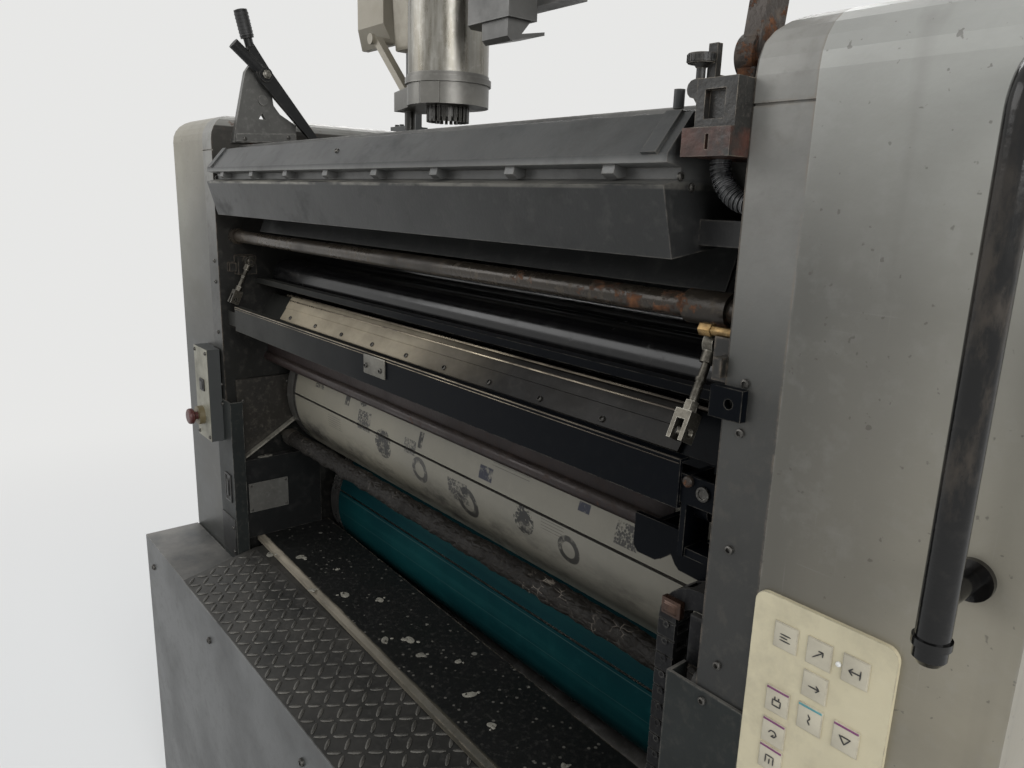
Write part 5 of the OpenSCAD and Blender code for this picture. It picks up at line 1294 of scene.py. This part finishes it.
for tone, colour in TONES.items():
    film = painted("band_" + tone, colour, tuple(c * 0.5 for c in colour[:3]) + (1,), (0.4, 0.36, 0.34, 1),
                   amount=0.5, scale=20.0, dust=0.0, edge_amount=0.0)
    strips = repeat(band, "key_bands_" + tone,
                    [Matrix.Translation(spot(x, PANEL_FACE, z)) for x, z, shade in KEYS if shade == tone])
    end_piece(strips, film, bevel=0.0002)
drop(band)
stroke = begin("stroke_pattern", bpy.ops.mesh.primitive_cylinder_add, (0, -0.0017, 0), vertices=12, radius=0.0005,
               depth=0.0006, rotation=(math.pi / 2, 0, 0))
pick(stroke, lambda middle, normal: normal.y < -0.9)
bpy.ops.mesh.inset(thickness=0.0001, depth=0)
bpy.ops.object.mode_set(mode="OBJECT")
# Signs drawn as short strokes, in millimetres on the key: arrow, bars, square, wave, cross and the like
SIGNS = [
    [(-5, -3, 5, -3), (-5, 0, 2, 0), (-5, 3, 5, 3)],
    [(-5, -4, 4, 4), (4, 4, 4, 0), (4, 4, 0, 4)],
    [(-5, 0, 5, 0), (-5, 0, -2, 3), (-5, 0, -2, -3), (5, -4, 5, 4)],
    [(-5, 0, 5, 0), (5, 0, 2, 3), (5, 0, 2, -3)],
    [(-4, -4, 4, -4), (4, -4, 4, 2), (4, 2, -4, 2), (-4, 2, -4, -4), (-2, 2, -2, 5), (2, 2, 2, 5)],
    [(-1, 5, 1, 2), (1, 2, -1, -1), (-1, -1, 1, -4)],
    [(-5, 3, 5, 3), (-5, 3, 0, -4), (5, 3, 0, -4)],
    [(-4, 0, -2, 3), (-2, 3, 2, 3), (2, 3, 4, 0), (4, 0, 2, -3), (2, -3, -1, -3), (-1, -3, 1, -1)],
    [(-4, -4, -4, 4), (-4, 4, 4, 4), (4, 4, 4, -4), (0, -4, 0, 1)],
    [(0, -4, 0, 4), (0, 4, -3, 1), (0, 4, 3, 1)],
    [(0, -4, 0, 4), (0, -4, -3, -1), (0, -4, 3, -1)],
    [(-4, 0, 4, 0), (0, -4, 0, 4)],
    [(-4, 0, 4, 0)],
    [(-4, -4, 4, 4), (-4, 4, 4, -4)],
    [(-4, -3, 0, 4), (0, 4, 4, -3), (4, -3, -4, -3)],
    [(-4, 3, 4, 3), (-4, -3, 4, -3)],
]
places = []
for (x, z, tone), sign in zip(KEYS, SIGNS):
    for x0, z0, x1, z1 in sign:
        start, finish = Vector((x0 * 0.85, 0, z0 * 0.85 - 0.6)), Vector((x1 * 0.85, 0, z1 * 0.85 - 0.6))
        middle, run = (start + finish) / 2, finish - start
        place = Matrix.Translation(spot(x + middle.x, PANEL_FACE, z + middle.z))
        turn = Matrix.Rotation(-math.atan2(run.z, run.x), 4, "Y")
        places.append(place @ turn @ Matrix.Diagonal((run.length + 0.8, 1, 1, 1)))
signs = repeat(stroke, "key_signs", places)
end_piece(signs, sign_ink)
drop(stroke)

red, tree, shader = new_material("red_plastic", 0.0)
dirt = apply_group(tree, grime, Color=(0.070, 0.018, 0.016, 1), Dark=(0.025, 0.010, 0.009, 1),
                   Pale=(0.17, 0.085, 0.070, 1), Amount=0.8, Scale=9.0)
edges = apply_group(tree, wear, Color=dirt["Color"], Bare=(0.36, 0.12, 0.09, 1), Width=0.0015, Amount=0.7)
tree.links.new(edges["Color"], shader.inputs["Base Color"])
roughen(tree, shader, dirt["Mask"], 0.35, 0.6)
bump(tree, shader, noise(tree, 400.0, 3.0), 0.15, 0.0003)
dress(red, "stop_button")
lit_plastic, tree, shader = new_material("lit_plastic", 0.0, 0.3)
shader.inputs["Base Color"].default_value = (0.80, 0.80, 0.76, 1)
led = begin("panel_led", bpy.ops.mesh.primitive_cylinder_add, spot(702.7, PANEL_FACE - 0.6, 431.6), vertices=20,
            radius=0.0021, depth=0.0014, rotation=(math.pi / 2, 0, 0))
pick(led, lambda middle, normal: normal.y < -0.9)
pull((0, -0.0007, 0))
bpy.ops.transform.resize(value=(0.55, 1, 0.55))
end_piece(led, lit_plastic, bend=60)
switch = start_box("rocker_switch", spot(-642, -30.6, 359), spot(-618, -28, 383))
pick(switch, lambda middle, normal: normal.y < -0.9)
bpy.ops.mesh.inset(thickness=0.003, depth=0)
pull((0, 0.0016, 0))
bpy.ops.mesh.inset(thickness=0.001, depth=0)
pull((0, -0.0028, 0))
end_piece(switch, grip_rubber, bevel=0.0005)
places = [facing(spot(x, -28, z), (0, -1, 0)) for x in (-664, -602) for z in (266, 439)]
panel_screws = repeat(fastener, "left_panel_screws", places)
end_piece(panel_screws, screw_steel)
drop(fastener)

# Grab handle: black painted tube, rubbed to bare metal where the hand takes it.
handle_paint, tree, shader = new_material("handle_paint", 0.35)
height = new_node(tree, "SeparateXYZ", Vector=stretched(tree, (1, 1, 1))).outputs["Z"]
dirt = apply_group(tree, grime, Color=(0.007, 0.007, 0.007, 1), Dark=(0.003, 0.003, 0.003, 1),
                   Pale=(0.040, 0.036, 0.032, 1), Amount=0.5, Scale=3.0)
gripped = times(tree, window(tree, height, WALK + 0.56, WALK + 0.78, 0.05), 0.4)
chips = times(tree, spread(tree, noise(tree, 34.0, 7.0, 0.7, (1, 1, 0.35)), 0.50, 0.62), gripped)
tree.links.new(mix_colour(tree, chips, dirt["Color"], (0.085, 0.068, 0.052, 1)), shader.inputs["Base Color"])
roughen(tree, shader, chips, 0.14, 0.45)
bump(tree, shader, times(tree, noise(tree, 240.0, 3.0), chips, "SUBTRACT"), 0.2, 0.0005)
dress(handle_paint, "grab_handle")

# Energy chain: black plastic links with pins at their sides and bright rods across,
# a copper brown end fitting at the top and a black clip plate beside it.
chain_plastic = painted("chain_plastic", (0.012, 0.012, 0.013, 1), (0.004, 0.004, 0.004, 1), (0.07, 0.068, 0.063, 1),
                        amount=0.7, scale=5.0, dust=0.2, edge=(0.16, 0.155, 0.14, 1), edge_width=0.0012)
chain_plastic.node_tree.nodes["Principled BSDF"].inputs["Specular IOR Level"].default_value = 0.12
dress(chain_plastic, "cable_chain")
CHAIN_X, CHAIN_LOW, LINK_PITCH = 522, 136, 18
link_pin = begin("pin_pattern", bpy.ops.mesh.primitive_cylinder_add, (0, 0, 0.0004), vertices=14, radius=0.0036,
                 depth=0.0016)
pick(link_pin, lambda middle, normal: normal.z > 0.9)
bpy.ops.mesh.inset(thickness=0.0012, depth=0)
pull((0, 0, -0.0006))
bpy.ops.object.mode_set(mode="OBJECT")
places = []
for i in range(13):
    z = CHAIN_LOW + (i + 0.78) * LINK_PITCH
    places.append(facing(spot(CHAIN_X, 41 - 13, z), (0, -1, 0)))
    places.append(facing(spot(CHAIN_X, 41 + 13, z), (0, 1, 0)))
pins = repeat(link_pin, "chain_pins", places)
end_piece(pins, chain_plastic)
drop(link_pin)
rod = start_box("cross_pattern", (-0.0016, -0.0085, -0.0022), (0.0016, 0.0085, 0.0022))
pick(rod, lambda middle, normal: normal.x < -0.9)
bpy.ops.mesh.inset(thickness=0.0008, depth=0)
pull((-0.0006, 0, 0))
bpy.ops.object.mode_set(mode="OBJECT")
places = [Matrix.Translation(spot(CHAIN_X - 9.6, 41, CHAIN_LOW + (i + 0.55) * LINK_PITCH)) for i in range(0, 13)]
rods = repeat(rod, "chain_crossbars", places)
end_piece(rods, dull_zinc, bevel=0.0005)
drop(rod)

fitting = start_box("chain_fitting", spot(519, 21.5, 380), spot(541, 29, 397))
pick(fitting, lambda middle, normal: normal.y < -0.9)
bpy.ops.mesh.inset(thickness=0.003, depth=0)
pull((0, -0.0025, 0))
bpy.ops.transform.resize(value=(0.8, 1, 0.7))
end_piece(fitting, copper, bevel=0.0008)
clip = start_box("chain_clip", spot(552, 22, 344), spot(568, 29, 393))
pick(clip, lambda middle, normal: normal.y < -0.9)
bpy.ops.mesh.inset(thickness=0.0025, depth=0.0012)
end_piece(clip, chain_plastic, bevel=0.0008)
